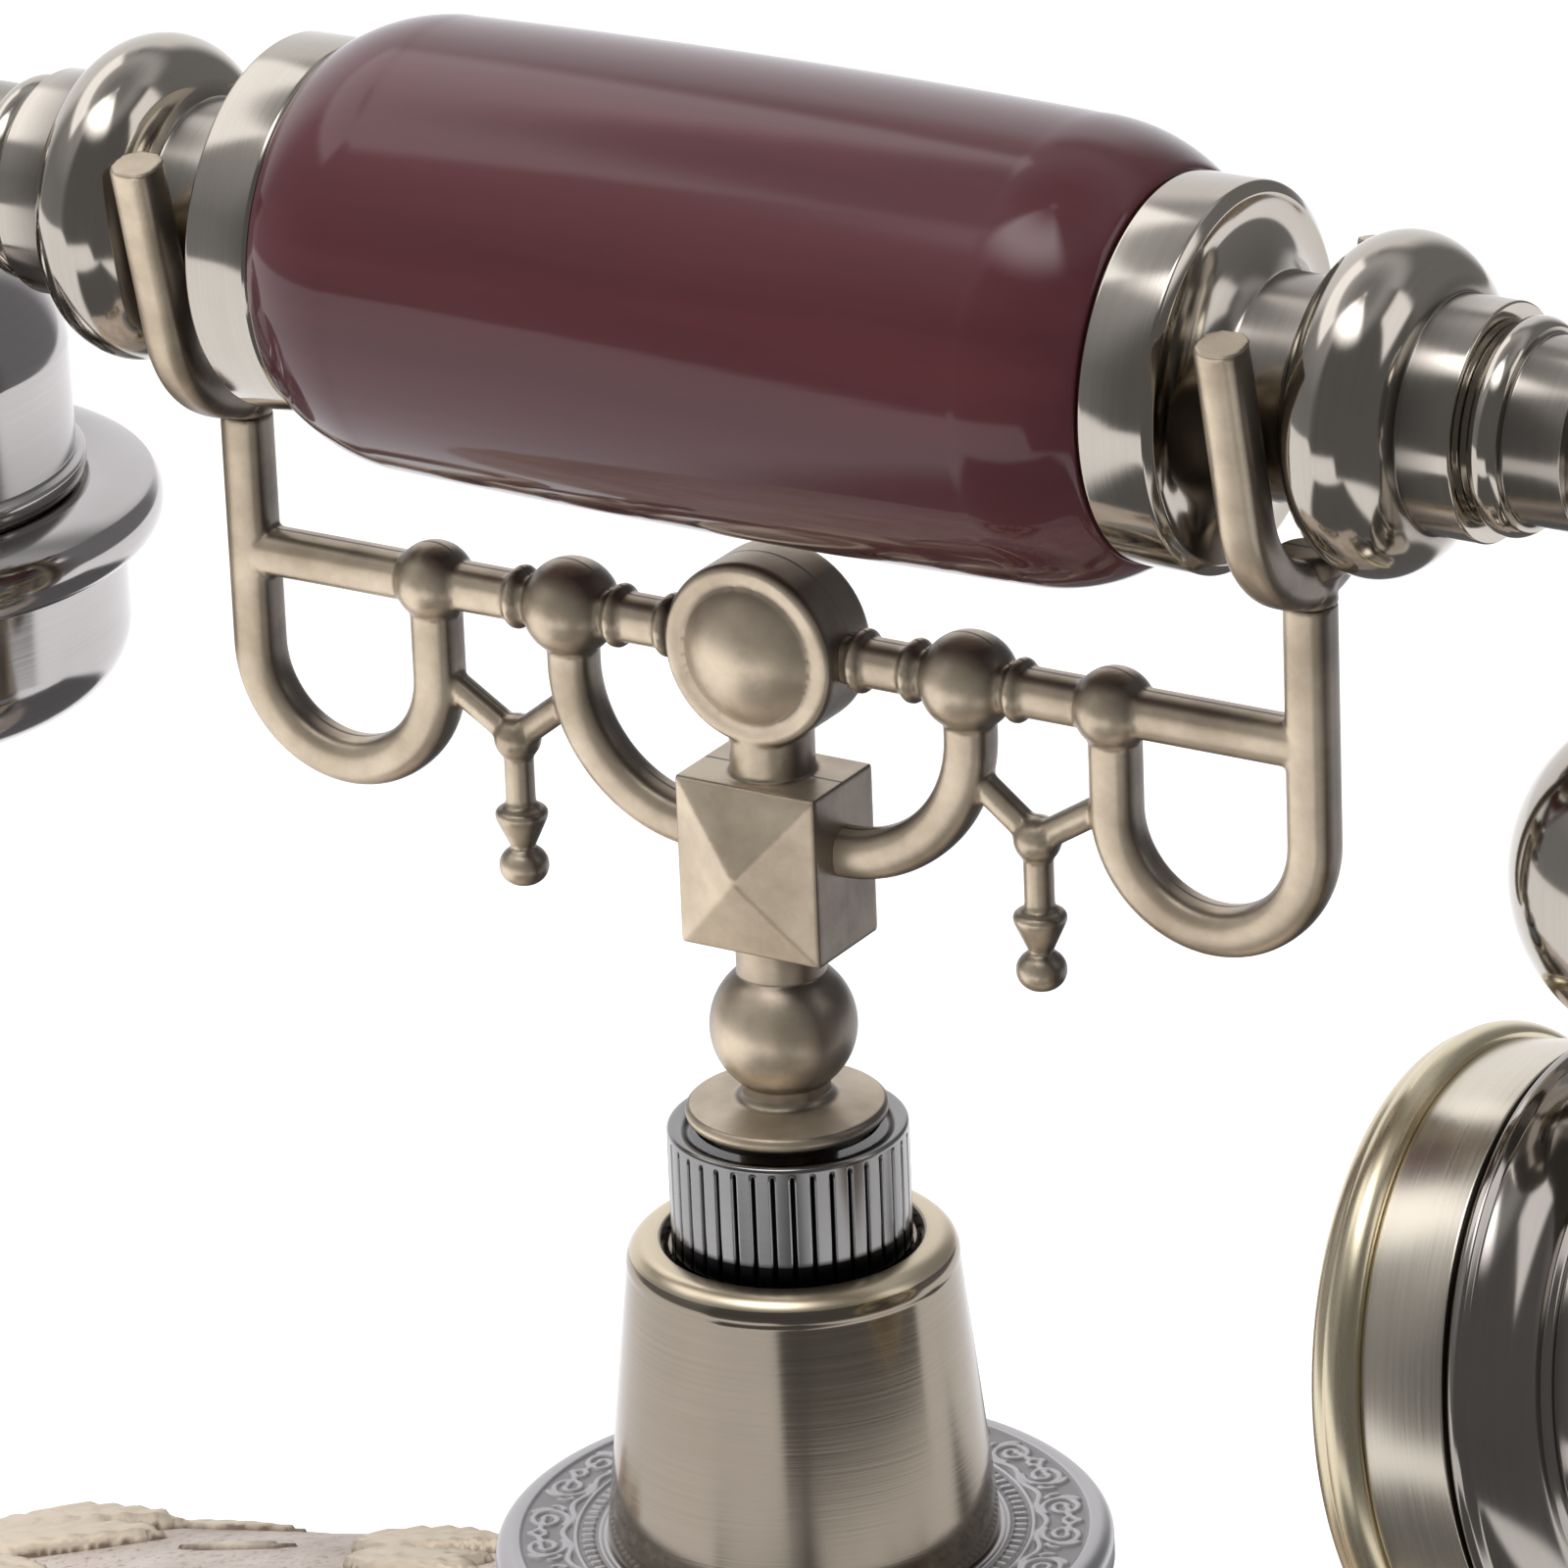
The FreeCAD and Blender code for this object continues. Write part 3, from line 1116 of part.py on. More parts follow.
def bell_gongs():
    """Two bell gongs, each hanging from its crown on a post."""
    gongs = []
    for sign in (-1, 1):
        low = -GONG_HEIGHT
        edge = GONG_RADIUS
        crown = GONG_CROWN_RADIUS
        gongs.append(turned([
            (edge - GONG_WALL, low), (edge, low), (crown, GONG_WALL, GONG_BOW), (0, GONG_WALL), (0, 0),
            (crown, 0), (edge - GONG_WALL, low, -GONG_BOW)],
            V(sign * GONG_X, GONG_Y, REBATE_Z + POST_HEIGHT)))
    return Part.makeCompound(gongs)


def hammer_z():
    return REBATE_Z + RINGER_THICK + PIVOT_HEIGHT + CLEAR


def ringer_bracket():
    """Plate on the bottom plate with the shouldered pivot of the hammer."""
    centre = V(0, HAMMER_Y - PIVOT_SHOULDER - RINGER_MARGIN + RINGER_DEPTH / 2, REBATE_Z + RINGER_THICK / 2)
    plate = box(centre, V(RINGER_WIDTH, RINGER_DEPTH, RINGER_THICK))
    top = RINGER_THICK + PIVOT_HEIGHT
    pivot = turned([
        (0, RINGER_THICK), (PIVOT_SHOULDER, RINGER_THICK), (PIVOT_SHOULDER, top), (PIVOT_RADIUS, top),
        (PIVOT_RADIUS, top + HAMMER_HUB_HEIGHT + 2 * CLEAR), (0, top + HAMMER_HUB_HEIGHT + 2 * CLEAR)],
        V(0, HAMMER_Y, REBATE_Z))
    return plate.fuse(pivot).removeSplitter()


def bell_hammer():
    """Hammer: hub on the pivot, rod and ball between the two gongs."""
    low = hammer_z()
    middle = low + HAMMER_HUB_HEIGHT / 2
    hub = Part.makeCylinder(HAMMER_HUB_RADIUS, HAMMER_HUB_HEIGHT, V(0, HAMMER_Y, low))
    bore = Part.makeCylinder(PIVOT_RADIUS + FIT, HAMMER_HUB_HEIGHT, V(0, HAMMER_Y, low))
    start = V(0, HAMMER_Y - PIVOT_RADIUS - HAMMER_ROD_RADIUS, middle)
    stick = rod(start, V(0, GONG_Y, middle), HAMMER_ROD_RADIUS)
    ball = Part.makeSphere(HAMMER_BALL_RADIUS, V(0, GONG_Y, middle))
    return hub.fuse([stick, ball]).cut(bore).removeSplitter()


def ringer_coil():
    """Wound coil between two cheeks, lying on the ringer bracket."""
    half = COIL_LENGTH / 2
    cheek = half - COIL_CHEEK_THICK
    return turned([
        (0, -half), (COIL_CHEEK_RADIUS, -half), (COIL_CHEEK_RADIUS, -cheek), (COIL_RADIUS, -cheek),
        (COIL_RADIUS, cheek), (COIL_CHEEK_RADIUS, cheek), (COIL_CHEEK_RADIUS, half), (0, half)],
        V(0, COIL_Y, REBATE_Z + RINGER_THICK + COIL_CHEEK_RADIUS), V(1, 0, 0))


def board_standoffs():
    posts = []
    for sign_x in (-1, 1):
        for sign_y in (-1, 1):
            foot = V(BOARD_X + sign_x * (BOARD_WIDTH / 2 - STANDOFF_INSET),
                     sign_y * (BOARD_DEPTH / 2 - STANDOFF_INSET), REBATE_Z)
            posts.append(rod(foot, foot + UP * STANDOFF_HEIGHT, STANDOFF_RADIUS))
    return Part.makeCompound(posts)


def main_board():
    low = REBATE_Z + STANDOFF_HEIGHT
    return box(V(BOARD_X, 0, low + BOARD_THICK / 2), V(BOARD_WIDTH, BOARD_DEPTH, BOARD_THICK))


def line_transformer():
    """Line transformer on the board: coil former with the stacked core around its middle."""
    low = REBATE_Z + STANDOFF_HEIGHT + BOARD_THICK
    size = TRANSFORMER_SIZE
    former = box(V(BOARD_X, 0, low + size / 2), V(size, size - 2 * TRANSFORMER_CORE, size))
    core = box(V(BOARD_X, 0, low + size / 2), V(size - 2 * TRANSFORMER_CORE, size, size - TRANSFORMER_CORE))
    return former.fuse(core).removeSplitter()


def rear_jacks():
    """Line jack and handset jack, standing on the bottom plate in the rear wall."""
    jacks = []
    for place in jack_places():
        body = box(place, V(JACK_WIDTH, JACK_DEPTH, JACK_HEIGHT))
        mouth = box(place + V(0, (JACK_DEPTH - JACK_SOCKET_DEPTH) / 2, 0),
                    V(JACK_SOCKET_WIDTH, JACK_SOCKET_DEPTH, JACK_SOCKET_HEIGHT))
        jacks.append(body.cut(mouth))
    return Part.makeCompound(jacks)


def telephone():
    """Every piece by name."""
    hub = cradle_hub()
    pieces = {
        "base_shell": base_shell(), "bottom_plate": bottom_plate(), "rubber_feet": rubber_feet(),
        "bottom_screws": bottom_screws(), "etched_plate": etched_plate(), "stand_cone": stand_cone(),
        "knurled_collar": knurled_collar(), "plunger_bush": plunger_bush(), "hook_spring": hook_spring(),
        "cradle_stem": cradle_stem(), "cradle_hub": hub, "cradle_arm_ear": cradle_arm(-1, hub),
        "cradle_arm_mouth": cradle_arm(1, hub), "fork_ear": fork(-1), "fork_mouth": fork(1),
        "hook_bracket": hook_bracket(), "hook_switch": hook_switch(), "hook_lever": hook_lever(),
        "grip": grip(), "tie_tube": tie_tube(), "ferrule_ear": ferrule(-1), "ferrule_mouth": ferrule(1),
        "arm_ear": arm_ear(), "arm_mouth": arm_mouth(), "ear_cup": ear_cup(), "ear_rim": ear_rim(),
        "ear_cap": ear_cap(), "receiver": receiver(), "mouth_cup": mouth_cup(), "mouth_rim": mouth_rim(),
        "mouth_grille": mouth_grille(), "microphone": microphone(), "handset_socket": handset_socket(),
        "dial_bezel": dial_bezel(), "key_plate": key_plate(), "dial_medallion": dial_medallion(),
        "key_mat": key_mat(), "keypad_board": keypad_board(), "main_board": main_board(),
        "board_standoffs": board_standoffs(), "line_transformer": line_transformer(),
        "bell_gongs": bell_gongs(), "gong_posts": gong_posts(), "ringer_bracket": ringer_bracket(),
        "ringer_coil": ringer_coil(),
        "bell_hammer": bell_hammer(), "rear_jacks": rear_jacks()}
    for number, place in enumerate(key_places(), start=1):
        pieces["key_%d" % number] = key(place)
    return pieces


os.makedirs("parts", exist_ok=True)
for name, shape in telephone().items():
    shape.exportStep(os.path.join("parts", name + ".step"))
    print(name, shape.isValid(), len(shape.Solids), round(shape.Volume))
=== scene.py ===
import json
import math

import bpy
import numpy as np
from mathutils import Matrix, Vector

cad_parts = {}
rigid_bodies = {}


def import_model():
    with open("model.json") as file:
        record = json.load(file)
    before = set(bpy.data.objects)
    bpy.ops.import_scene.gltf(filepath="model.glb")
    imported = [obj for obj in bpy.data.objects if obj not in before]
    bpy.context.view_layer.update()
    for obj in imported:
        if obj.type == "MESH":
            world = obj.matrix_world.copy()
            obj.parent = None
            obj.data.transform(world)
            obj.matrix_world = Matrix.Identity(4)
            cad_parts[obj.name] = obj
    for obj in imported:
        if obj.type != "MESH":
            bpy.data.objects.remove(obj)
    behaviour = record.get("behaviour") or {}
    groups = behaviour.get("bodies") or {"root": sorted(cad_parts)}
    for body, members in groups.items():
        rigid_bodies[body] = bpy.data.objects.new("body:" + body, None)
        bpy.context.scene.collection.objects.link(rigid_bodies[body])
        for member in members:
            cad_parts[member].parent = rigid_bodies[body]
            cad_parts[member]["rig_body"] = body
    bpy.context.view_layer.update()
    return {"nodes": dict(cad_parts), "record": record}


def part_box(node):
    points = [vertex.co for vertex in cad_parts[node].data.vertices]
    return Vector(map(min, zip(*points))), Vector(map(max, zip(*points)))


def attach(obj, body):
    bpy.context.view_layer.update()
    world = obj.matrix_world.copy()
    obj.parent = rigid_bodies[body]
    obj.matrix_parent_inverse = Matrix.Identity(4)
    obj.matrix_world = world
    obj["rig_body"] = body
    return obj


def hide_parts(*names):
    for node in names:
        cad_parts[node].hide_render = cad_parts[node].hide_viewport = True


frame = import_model()


# Camera at the photograph's viewing angle: a long lens, close in, looking down on the handset.
# It aims at the cradle's axis, and a small roll tilts the grip as it lies in the picture.
CAMERA_AZIMUTH = 0.561
CAMERA_ELEVATION = 0.389
CAMERA_ROLL = -0.0409
CAMERA_DISTANCE = 0.88046
CAMERA_AIM = Vector((0.001056, 0.0, 0.20776))
CAMERA_LENS = 230.67

scene = bpy.context.scene
scene.view_settings.view_transform = "Standard"
back = Vector((math.sin(CAMERA_AZIMUTH) * math.cos(CAMERA_ELEVATION),
               -math.cos(CAMERA_AZIMUTH) * math.cos(CAMERA_ELEVATION),
               math.sin(CAMERA_ELEVATION)))
level = Vector((math.cos(CAMERA_AZIMUTH), math.sin(CAMERA_AZIMUTH), 0.0))
right = level * math.cos(CAMERA_ROLL) + back.cross(level) * math.sin(CAMERA_ROLL)
camera_axes = Matrix((right, back.cross(right), back)).transposed().to_4x4()
camera_data = bpy.data.cameras.new("camera")
camera_data.lens = CAMERA_LENS
camera_data.clip_start = 0.05
camera = bpy.data.objects.new("camera", camera_data)
camera.matrix_world = Matrix.Translation(CAMERA_AIM + back * CAMERA_DISTANCE) @ camera_axes
scene.collection.objects.link(camera)
scene.camera = camera


# Studio: a pale floor under a white tent, two broad soft lamps and a room that only reflections show.
# The room is dark towards the camera, bright behind and above, and gives the polished metal its bands.
def shader_node(tree, kind, settings=None, out=0, **inputs):
    """One shader node with its settings and inputs: a socket is linked, anything else is a value.
    Gives the output that out names."""
    made = tree.nodes.new("ShaderNode" + kind)
    for key, value in (settings or {}).items():
        setattr(made, key, value)
    for key, value in inputs.items():
        socket = made.inputs[int(key[1:]) if key[0] == "i" and key[1:].isdigit() else key.replace("_", " ")]
        if isinstance(value, bpy.types.NodeSocket):
            tree.links.new(value, socket)
        else:
            socket.default_value = value
    return made.outputs[out]


def math_node(tree, operation, *values):
    """One sum on numbers or sockets."""
    return shader_node(tree, "Math", {"operation": operation}, **{"i%d" % n: v for n, v in enumerate(values)})


def spread(tree, value, old, new=(0.0, 1.0)):
    """Carries a number from the range old to the range new, and holds it at the ends."""
    return shader_node(tree, "MapRange", Value=value, From_Min=old[0], From_Max=old[1],
                       To_Min=new[0], To_Max=new[1])


def attribute(tree, name):
    """Number stored on the piece's points under a name."""
    return shader_node(tree, "Attribute", {"attribute_name": name}, out="Fac")


def empty_material(name):
    """Material with only its output node."""
    material = bpy.data.materials.new(name)
    material.use_nodes = True
    material.node_tree.nodes.clear()
    return material, material.node_tree, material.node_tree.nodes.new("ShaderNodeOutputMaterial")


def seen_directly(tree):
    """1 for rays from the camera, and for those that a mirror or a glass passes on."""
    path = tree.nodes.new("ShaderNodeLightPath")
    mirrored = math_node(tree, "MAXIMUM", path.outputs["Is Camera Ray"], path.outputs["Is Glossy Ray"])
    return math_node(tree, "MAXIMUM", mirrored, path.outputs["Is Transmission Ray"])


TENT_LIGHT = 0.55
world = bpy.data.worlds.new("white_tent")
world.use_nodes = True
scene.world = world
tent = world.node_tree
tent_strength = spread(tent, seen_directly(tent), (0.0, 1.0), (TENT_LIGHT, 1.0))
tent.nodes["Background"].inputs["Color"].default_value = (1.0, 1.0, 1.0, 1.0)
tent.links.new(tent_strength, tent.nodes["Background"].inputs["Strength"])


def add_mesh(name, points, faces):
    """Mesh object at the origin from an array of points and one or more arrays of faces."""
    mesh = bpy.data.meshes.new(name)
    corners = [face for part in faces for face in part.tolist()]
    mesh.from_pydata(np.asarray(points, float).tolist(), [], corners)
    mesh.polygons.foreach_set("use_smooth", np.ones(len(mesh.polygons), bool))
    mesh.update()
    piece = bpy.data.objects.new(name, mesh)
    scene.collection.objects.link(piece)
    return piece


def grid_faces(rows, columns, close_rows=False, close_columns=False):
    """Quads of a grid of points stored row by row, with either direction closed into a loop if asked."""
    row = np.arange(rows if close_rows else rows - 1)
    column = np.arange(columns if close_columns else columns - 1)
    low, left = np.meshgrid(row, column, indexing="ij")
    high = (low + 1) % rows
    far = (left + 1) % columns
    corners = (low * columns + left, low * columns + far, high * columns + far, high * columns + left)
    return np.stack(corners, -1).reshape(-1, 4)


FLOOR_HALF = 9.0
FLOOR_COLOUR = (0.82, 0.815, 0.81, 1.0)
FLOOR_GLOW = 0.42
floor_edge = np.linspace(-FLOOR_HALF, FLOOR_HALF, 3)
floor_x, floor_y = np.meshgrid(floor_edge, floor_edge, indexing="ij")
floor_points = np.stack((floor_x, floor_y, np.zeros_like(floor_x)), -1).reshape(-1, 3)
floor = add_mesh("floor", floor_points, [grid_faces(3, 3)])
floor.data.flip_normals()
paper, tree, output = empty_material("floor_paper")
glow = math_node(tree, "MULTIPLY", seen_directly(tree), FLOOR_GLOW)
sheet = shader_node(tree, "BsdfDiffuse", Color=FLOOR_COLOUR)
lit = shader_node(tree, "Emission", Color=(1.0, 1.0, 1.0, 1.0), Strength=glow)
both = shader_node(tree, "AddShader", i0=sheet, i1=lit)
tree.links.new(both, output.inputs["Surface"])
floor.data.materials.append(paper)


def smooth_step(value, low, high):
    """0 below low, 1 above high, and an eased rise between."""
    share = np.clip((value - low) / (high - low), 0.0, 1.0)
    return share * share * (3 - 2 * share)


ROOM_RADIUS = 6.0
ROOM_FLOOR = 0.004
ROOM_COLOUR = (0.97, 0.965, 1.0, 1.0)
ROOM_HEIGHTS = (-12.0, 0.0, 14.0, 28.0, 44.0, 58.0, 78.0)
ROOM_LEVELS = (0.30, 0.28, 0.27, 0.36, 0.46, 0.60, 0.30)
SWEEP_REACH = (1.6, 0.8, 0.45)
SWEEP_EDGE = (0.92, 1.08)
SWEEP_LEVEL = 1.25
SHADOW_BOX = (-0.13, 0.25, -0.36, 0.30)
SHADOW_LEVEL = 0.15
SHADOW_SOFT = 0.02
FRONT_MIDDLE = 14.0
FRONT_EDGE = (70.0, 82.0)
FRONT_TOP = (48.0, 70.0)
FRONT_LEVEL = 0.15
SWEEP_TURN = (-18.0, -8.0)
RIGHT_EDGE = (30.0, 50.0)
RIGHT_TOP = (40.0, 54.0)
RIGHT_LEVEL = 0.24
BACK_SHIFT = 24.0
BACK_EDGE = (118.0, 142.0)
BACK_TOP = (34.0, 48.0)
BACK_LEVEL = 1.05
SOFT_BOXES = ((72.0, 34.0, 17.0, 15.0, 3.0, 1.4), (-128.0, 47.0, 38.0, 10.0, 3.0, 1.8),
              (-38.0, 70.0, 48.0, 11.0, 10.0, 4.2))
room_turn = np.linspace(0.0, 2 * math.pi, 240, endpoint=False)
room_floor = np.concatenate((np.linspace(0.02, 0.6, 40), np.linspace(0.65, ROOM_RADIUS, 50)))
room_rise = np.radians(np.linspace(0.0, 88.0, 70))[1:]
turn, far = np.meshgrid(room_turn, np.concatenate((room_floor, ROOM_RADIUS * np.cos(room_rise))))
high = np.concatenate((np.full(len(room_floor), ROOM_FLOOR), ROOM_RADIUS * np.sin(room_rise)))
high = high[:, None] + 0 * far
room_x = far * np.sin(turn)
room_y = -far * np.cos(turn)
room_points = np.stack((room_x, room_y, high), -1).reshape(-1, 3)
room = add_mesh("studio_room", room_points, [grid_faces(len(far), len(room_turn), close_columns=True)])
aside = np.degrees((turn - CAMERA_AZIMUTH + math.pi) % (2 * math.pi) - math.pi)
height = np.degrees(np.arctan2(high - CAMERA_AIM.z, far))
light = np.interp(height, ROOM_HEIGHTS, ROOM_LEVELS)
in_front = 1 - smooth_step(np.abs(aside - FRONT_MIDDLE), *FRONT_EDGE)
sweep = SWEEP_REACH[0] + (SWEEP_REACH[1] - SWEEP_REACH[0]) * in_front
sweep = sweep + (SWEEP_REACH[2] - sweep) * smooth_step(aside, *SWEEP_TURN) * in_front
beyond = smooth_step(far / sweep, *SWEEP_EDGE)
to_right = smooth_step(aside, *RIGHT_EDGE) * (1 - smooth_step(height, *RIGHT_TOP))
light += (RIGHT_LEVEL - light) * to_right
light += (FRONT_LEVEL - light) * in_front * (1 - smooth_step(height, *FRONT_TOP))
behind = smooth_step(np.where(aside > 0, aside - BACK_SHIFT, -aside), *BACK_EDGE)
light += (BACK_LEVEL - light) * behind * (1 - smooth_step(height, *BACK_TOP))
on_floor = high < 2 * ROOM_FLOOR
light += (SWEEP_LEVEL - light) * (1 - beyond) * on_floor
past = [smooth_step(way, edge - SHADOW_SOFT, edge + SHADOW_SOFT)
        for way, edge in zip((room_x, room_x, room_y, room_y), SHADOW_BOX)]
in_shadow = past[0] * (1 - past[1]) * past[2] * (1 - past[3])
light += (SHADOW_LEVEL - light) * in_shadow * on_floor
for box_turn, box_rise, half_turn, half_rise, soft, bright in SOFT_BOXES:
    off_turn = np.abs((aside - box_turn + 180.0) % 360.0 - 180.0)
    inside = 1 - smooth_step(off_turn, half_turn - soft, half_turn + soft)
    inside = inside * (1 - smooth_step(np.abs(height - box_rise), half_rise - soft, half_rise + soft))
    light += (bright - light) * inside
shade = room.data.attributes.new("shade", "FLOAT", "POINT")
shade.data.foreach_set("value", light.ravel().astype(np.float32))
grey, tree, output = empty_material("room_grey")
shade_read = attribute(tree, "shade")
room_light = shader_node(tree, "Emission", Color=ROOM_COLOUR, Strength=shade_read)
tree.links.new(room_light, output.inputs["Surface"])
room.data.materials.append(grey)
room.visible_camera = False
room.visible_diffuse = False
room.visible_shadow = False
room.visible_transmission = False


def soft_lamp(name, place, size, power):
    """Square area lamp that faces the middle of the telephone; mirrors show the room in its place."""
    lamp_data = bpy.data.lights.new(name, "AREA")
    lamp_data.size = size
    lamp_data.energy = power
    lamp = bpy.data.objects.new(name, lamp_data)
    lamp.location = place
    lamp.rotation_euler = (CAMERA_AIM - Vector(place)).to_track_quat("-Z", "Y").to_euler()
    lamp.visible_glossy = False
    scene.collection.objects.link(lamp)


soft_lamp("lamp_overhead", place=(-0.9, -1.0, 2.2), size=1.6, power=42.0)
soft_lamp("lamp_side", place=(1.9, -0.9, 1.1), size=1.0, power=5.0)


# Resin base: a cast shell with a flared plinth, sloped front and back and a crowned deck.
# Pale taupe stone finish, sandy to the touch, with a brown wash that stays in its pores.
MM = 0.001
RESIN_PALE = (0.71, 0.625, 0.57)
RESIN_BROWN = (0.50, 0.42, 0.365)
RESIN_PORE = (0.24, 0.18, 0.145)


def mixed(tree, share, low, high):
    """Colour that goes from low to high as share goes from 0 to 1; each is a socket or three numbers."""
    ends = [end if isinstance(end, bpy.types.NodeSocket) else (*end, 1.0) for end in (low, high)]
    return shader_node(tree, "Mix", {"data_type": "RGBA"}, out=2, Factor=share, i6=ends[0], i7=ends[1])


def surface(tree, output, **inputs):
    """Surface shader with its inputs, joined to the material's output."""
    tree.links.new(shader_node(tree, "BsdfPrincipled", **inputs), output.inputs["Surface"])


def piece_finish(name):
    """Empty material for a piece, with the place on the piece in its own coordinates."""
    material, tree, output = empty_material(name)
    return material, tree, output, shader_node(tree, "TexCoord", out="Object")


def bumped(tree, height, strength, distance):
    """Small relief from a number; distance is its height in metres."""
    return shader_node(tree, "Bump", Strength=strength, Distance=distance, Height=height)


def noise(tree, place, scale, detail, roughness=0.5):
    """Cloudy number between 0 and 1."""
    return shader_node(tree, "TexNoise", Vector=place, Scale=scale, Detail=detail, Roughness=roughness)


def dress(node, material):
    """Gives a node of the frame its finish."""
    slots = frame["nodes"][node].data.materials
    slots.clear()
    slots.append(material)


resin, tree, output, place = piece_finish("resin_stone")
wash = noise(tree, place, 55.0, 8.0, 0.62)
sand = noise(tree, place, 1100.0, 4.0, 0.6)
wash_share = spread(tree, wash, (0.36, 0.60))
stone = mixed(tree, wash_share, RESIN_BROWN, RESIN_PALE)
pore_share = spread(tree, sand, (0.30, 0.47), (0.75, 0.0))
speckled = mixed(tree, pore_share, stone, RESIN_PORE)
grit = math_node(tree, "MULTIPLY_ADD", wash, 2.5, sand)
rough = spread(tree, sand, (0.0, 1.0), (0.5, 0.75))
relief = bumped(tree, grit, 0.55, 0.0003)
surface(tree, output, Base_Color=speckled, Roughness=rough, Normal=relief)
dress("base_shell", resin)


# Leaf work on the base: scrolled leaves cast with the shell, worn to pale gold on their high places and
# painted with brown shade in their low places.
# Each is a raised patch that follows the deck and sinks into it at its edge.
LEAF_GOLD = (0.66, 0.565, 0.44)
# Painted shade for the low places of the leaves.
LEAF_SHADOW = (0.16, 0.11, 0.075)
LEAF_SINK = 0.7
LEAF_CELL = 0.45


def set_share(piece, name, values):
    """Stores one number for each point of a piece, for its material to read."""
    piece.data.attributes.new(name, "FLOAT", "POINT").data.foreach_set("value", values.astype(np.float32))


def stored(collection, name, kind=float, width=3):
    """One property of all points, edges or faces of a mesh, as the rows of an array."""
    values = np.empty(width * len(collection), kind)
    collection.foreach_get(name, values)
    return values.reshape(-1, width)


def dropped_on(node, points):
    """Carries points straight down on to the surface of a node."""
    sheet = add_mesh("laid_points", points, [grid_faces(1, len(points))])
    wrap = sheet.modifiers.new("wrap", "SHRINKWRAP")
    wrap.target = frame["nodes"][node]
    wrap.wrap_method = "PROJECT"
    wrap.use_project_z = True
    wrap.use_positive_direction = False
    wrap.use_negative_direction = True
    settled = sheet.evaluated_get(bpy.context.evaluated_depsgraph_get()).data
    found = stored(settled.vertices, "co")
    bpy.data.objects.remove(sheet)
    return found


def leaf_height(along, across, lobes):
    """Height of a spray of leaves in mm: the tallest lobe at each place. A lobe is a flat blade shaped as a
    pointed egg, with a midrib pressed in and shallow veins that run back from it."""
    height = np.full(along.shape, -1.0)
    for x, y, angle, length, width, tall in lobes:
        turn = math.radians(angle)
        s = (along - x) * math.cos(turn) + (across - y) * math.sin(turn)
        t = (across - y) * math.cos(turn) - (along - x) * math.sin(turn)
        share = np.clip(s / length, 0.0, 1.0)
        half = width * np.sin(math.pi * share ** 0.7) ** 0.8 + 1e-6
        body = 1.0 - (t / half) ** 2
        veins = 0.07 * np.sin(2 * math.pi * (s - 1.1 * np.abs(t)) / (0.16 * length))
        blade = smooth_step(body, 0.0, 0.4) * (0.7 + 0.3 * np.sin(math.pi * share))
        rib = 0.3 * np.exp(-(t / (0.10 * width)) ** 2)
        lobe = np.where((body > 0) & (s > 0) & (s < length), tall * (blade * (1 + veins) - rib), -1.0)
        height = np.maximum(height, lobe)
    return height


def leaf_patch(name, node, corner, side, rise, lobes):
    """Slab over a rectangle: its top is the node's surface raised by the leaves, and its underside
    lies deeper."""
    columns = int(np.linalg.norm(side) / LEAF_CELL)
    rows = int(np.linalg.norm(rise) / LEAF_CELL)
    u, v = np.meshgrid(np.linspace(0.0, 1.0, columns), np.linspace(0.0, 1.0, rows))
    flat = np.array(corner) + u[..., None] * np.array(side) + v[..., None] * np.array(rise)
    ground = dropped_on(node, flat.reshape(-1, 3) * MM).reshape(rows, columns, 3)
    slope = np.cross(np.gradient(ground, axis=1), np.gradient(ground, axis=0))
    slope /= np.linalg.norm(slope, axis=-1, keepdims=True) + 1e-12
    slope *= np.sign(slope[..., 2:])
    along = u * np.linalg.norm(side)
    across = v * np.linalg.norm(rise)
    raised = leaf_height(along, across, lobes)
    height = np.where(raised > -0.5, np.clip(raised, 0.0, None), -LEAF_SINK) * MM
    top = ground + slope * height[..., None]
    low = ground - slope * 3 * LEAF_SINK * MM
    points = np.concatenate((top.reshape(-1, 3), low.reshape(-1, 3)))
    count = rows * columns
    number = np.arange(count).reshape(rows, columns)
    edge = np.concatenate((number[0], number[1:, -1], number[-1, -2::-1], number[-2:0:-1, 0]))
    follower = np.roll(edge, -1)
    faces = [grid_faces(rows, columns), count + grid_faces(rows, columns)[:, ::-1],
             np.stack((follower, edge, edge + count, follower + count), -1)]
    piece = add_mesh(name, points, faces)
    if side[0] * rise[1] < 0:
        piece.data.flip_normals()
    set_share(piece, "height", np.concatenate((np.clip(raised, 0.0, 1.0).ravel(), np.zeros(count))))
    return piece


leaf_gold, tree, output, place = piece_finish("leaf_gold")
height = attribute(tree, "height")
rub = noise(tree, place, 420.0, 6.0, 0.6)
# Leaf height and rub noise set the colour: low places take painted shade, high places pale gold.
worn = math_node(tree, "MULTIPLY_ADD", rub, 0.7, height)
gold_over_painted_shade = spread(tree, worn, (0.62, 1.0))
gold = mixed(tree, gold_over_painted_shade, LEAF_SHADOW, LEAF_GOLD)
sheen = spread(tree, gold_over_painted_shade, (0.0, 1.0), (0.0, 0.35))
relief = bumped(tree, rub, 0.3, 0.0002)
surface(tree, output, Base_Color=gold, Roughness=0.42, Metallic=sheen, Normal=relief)

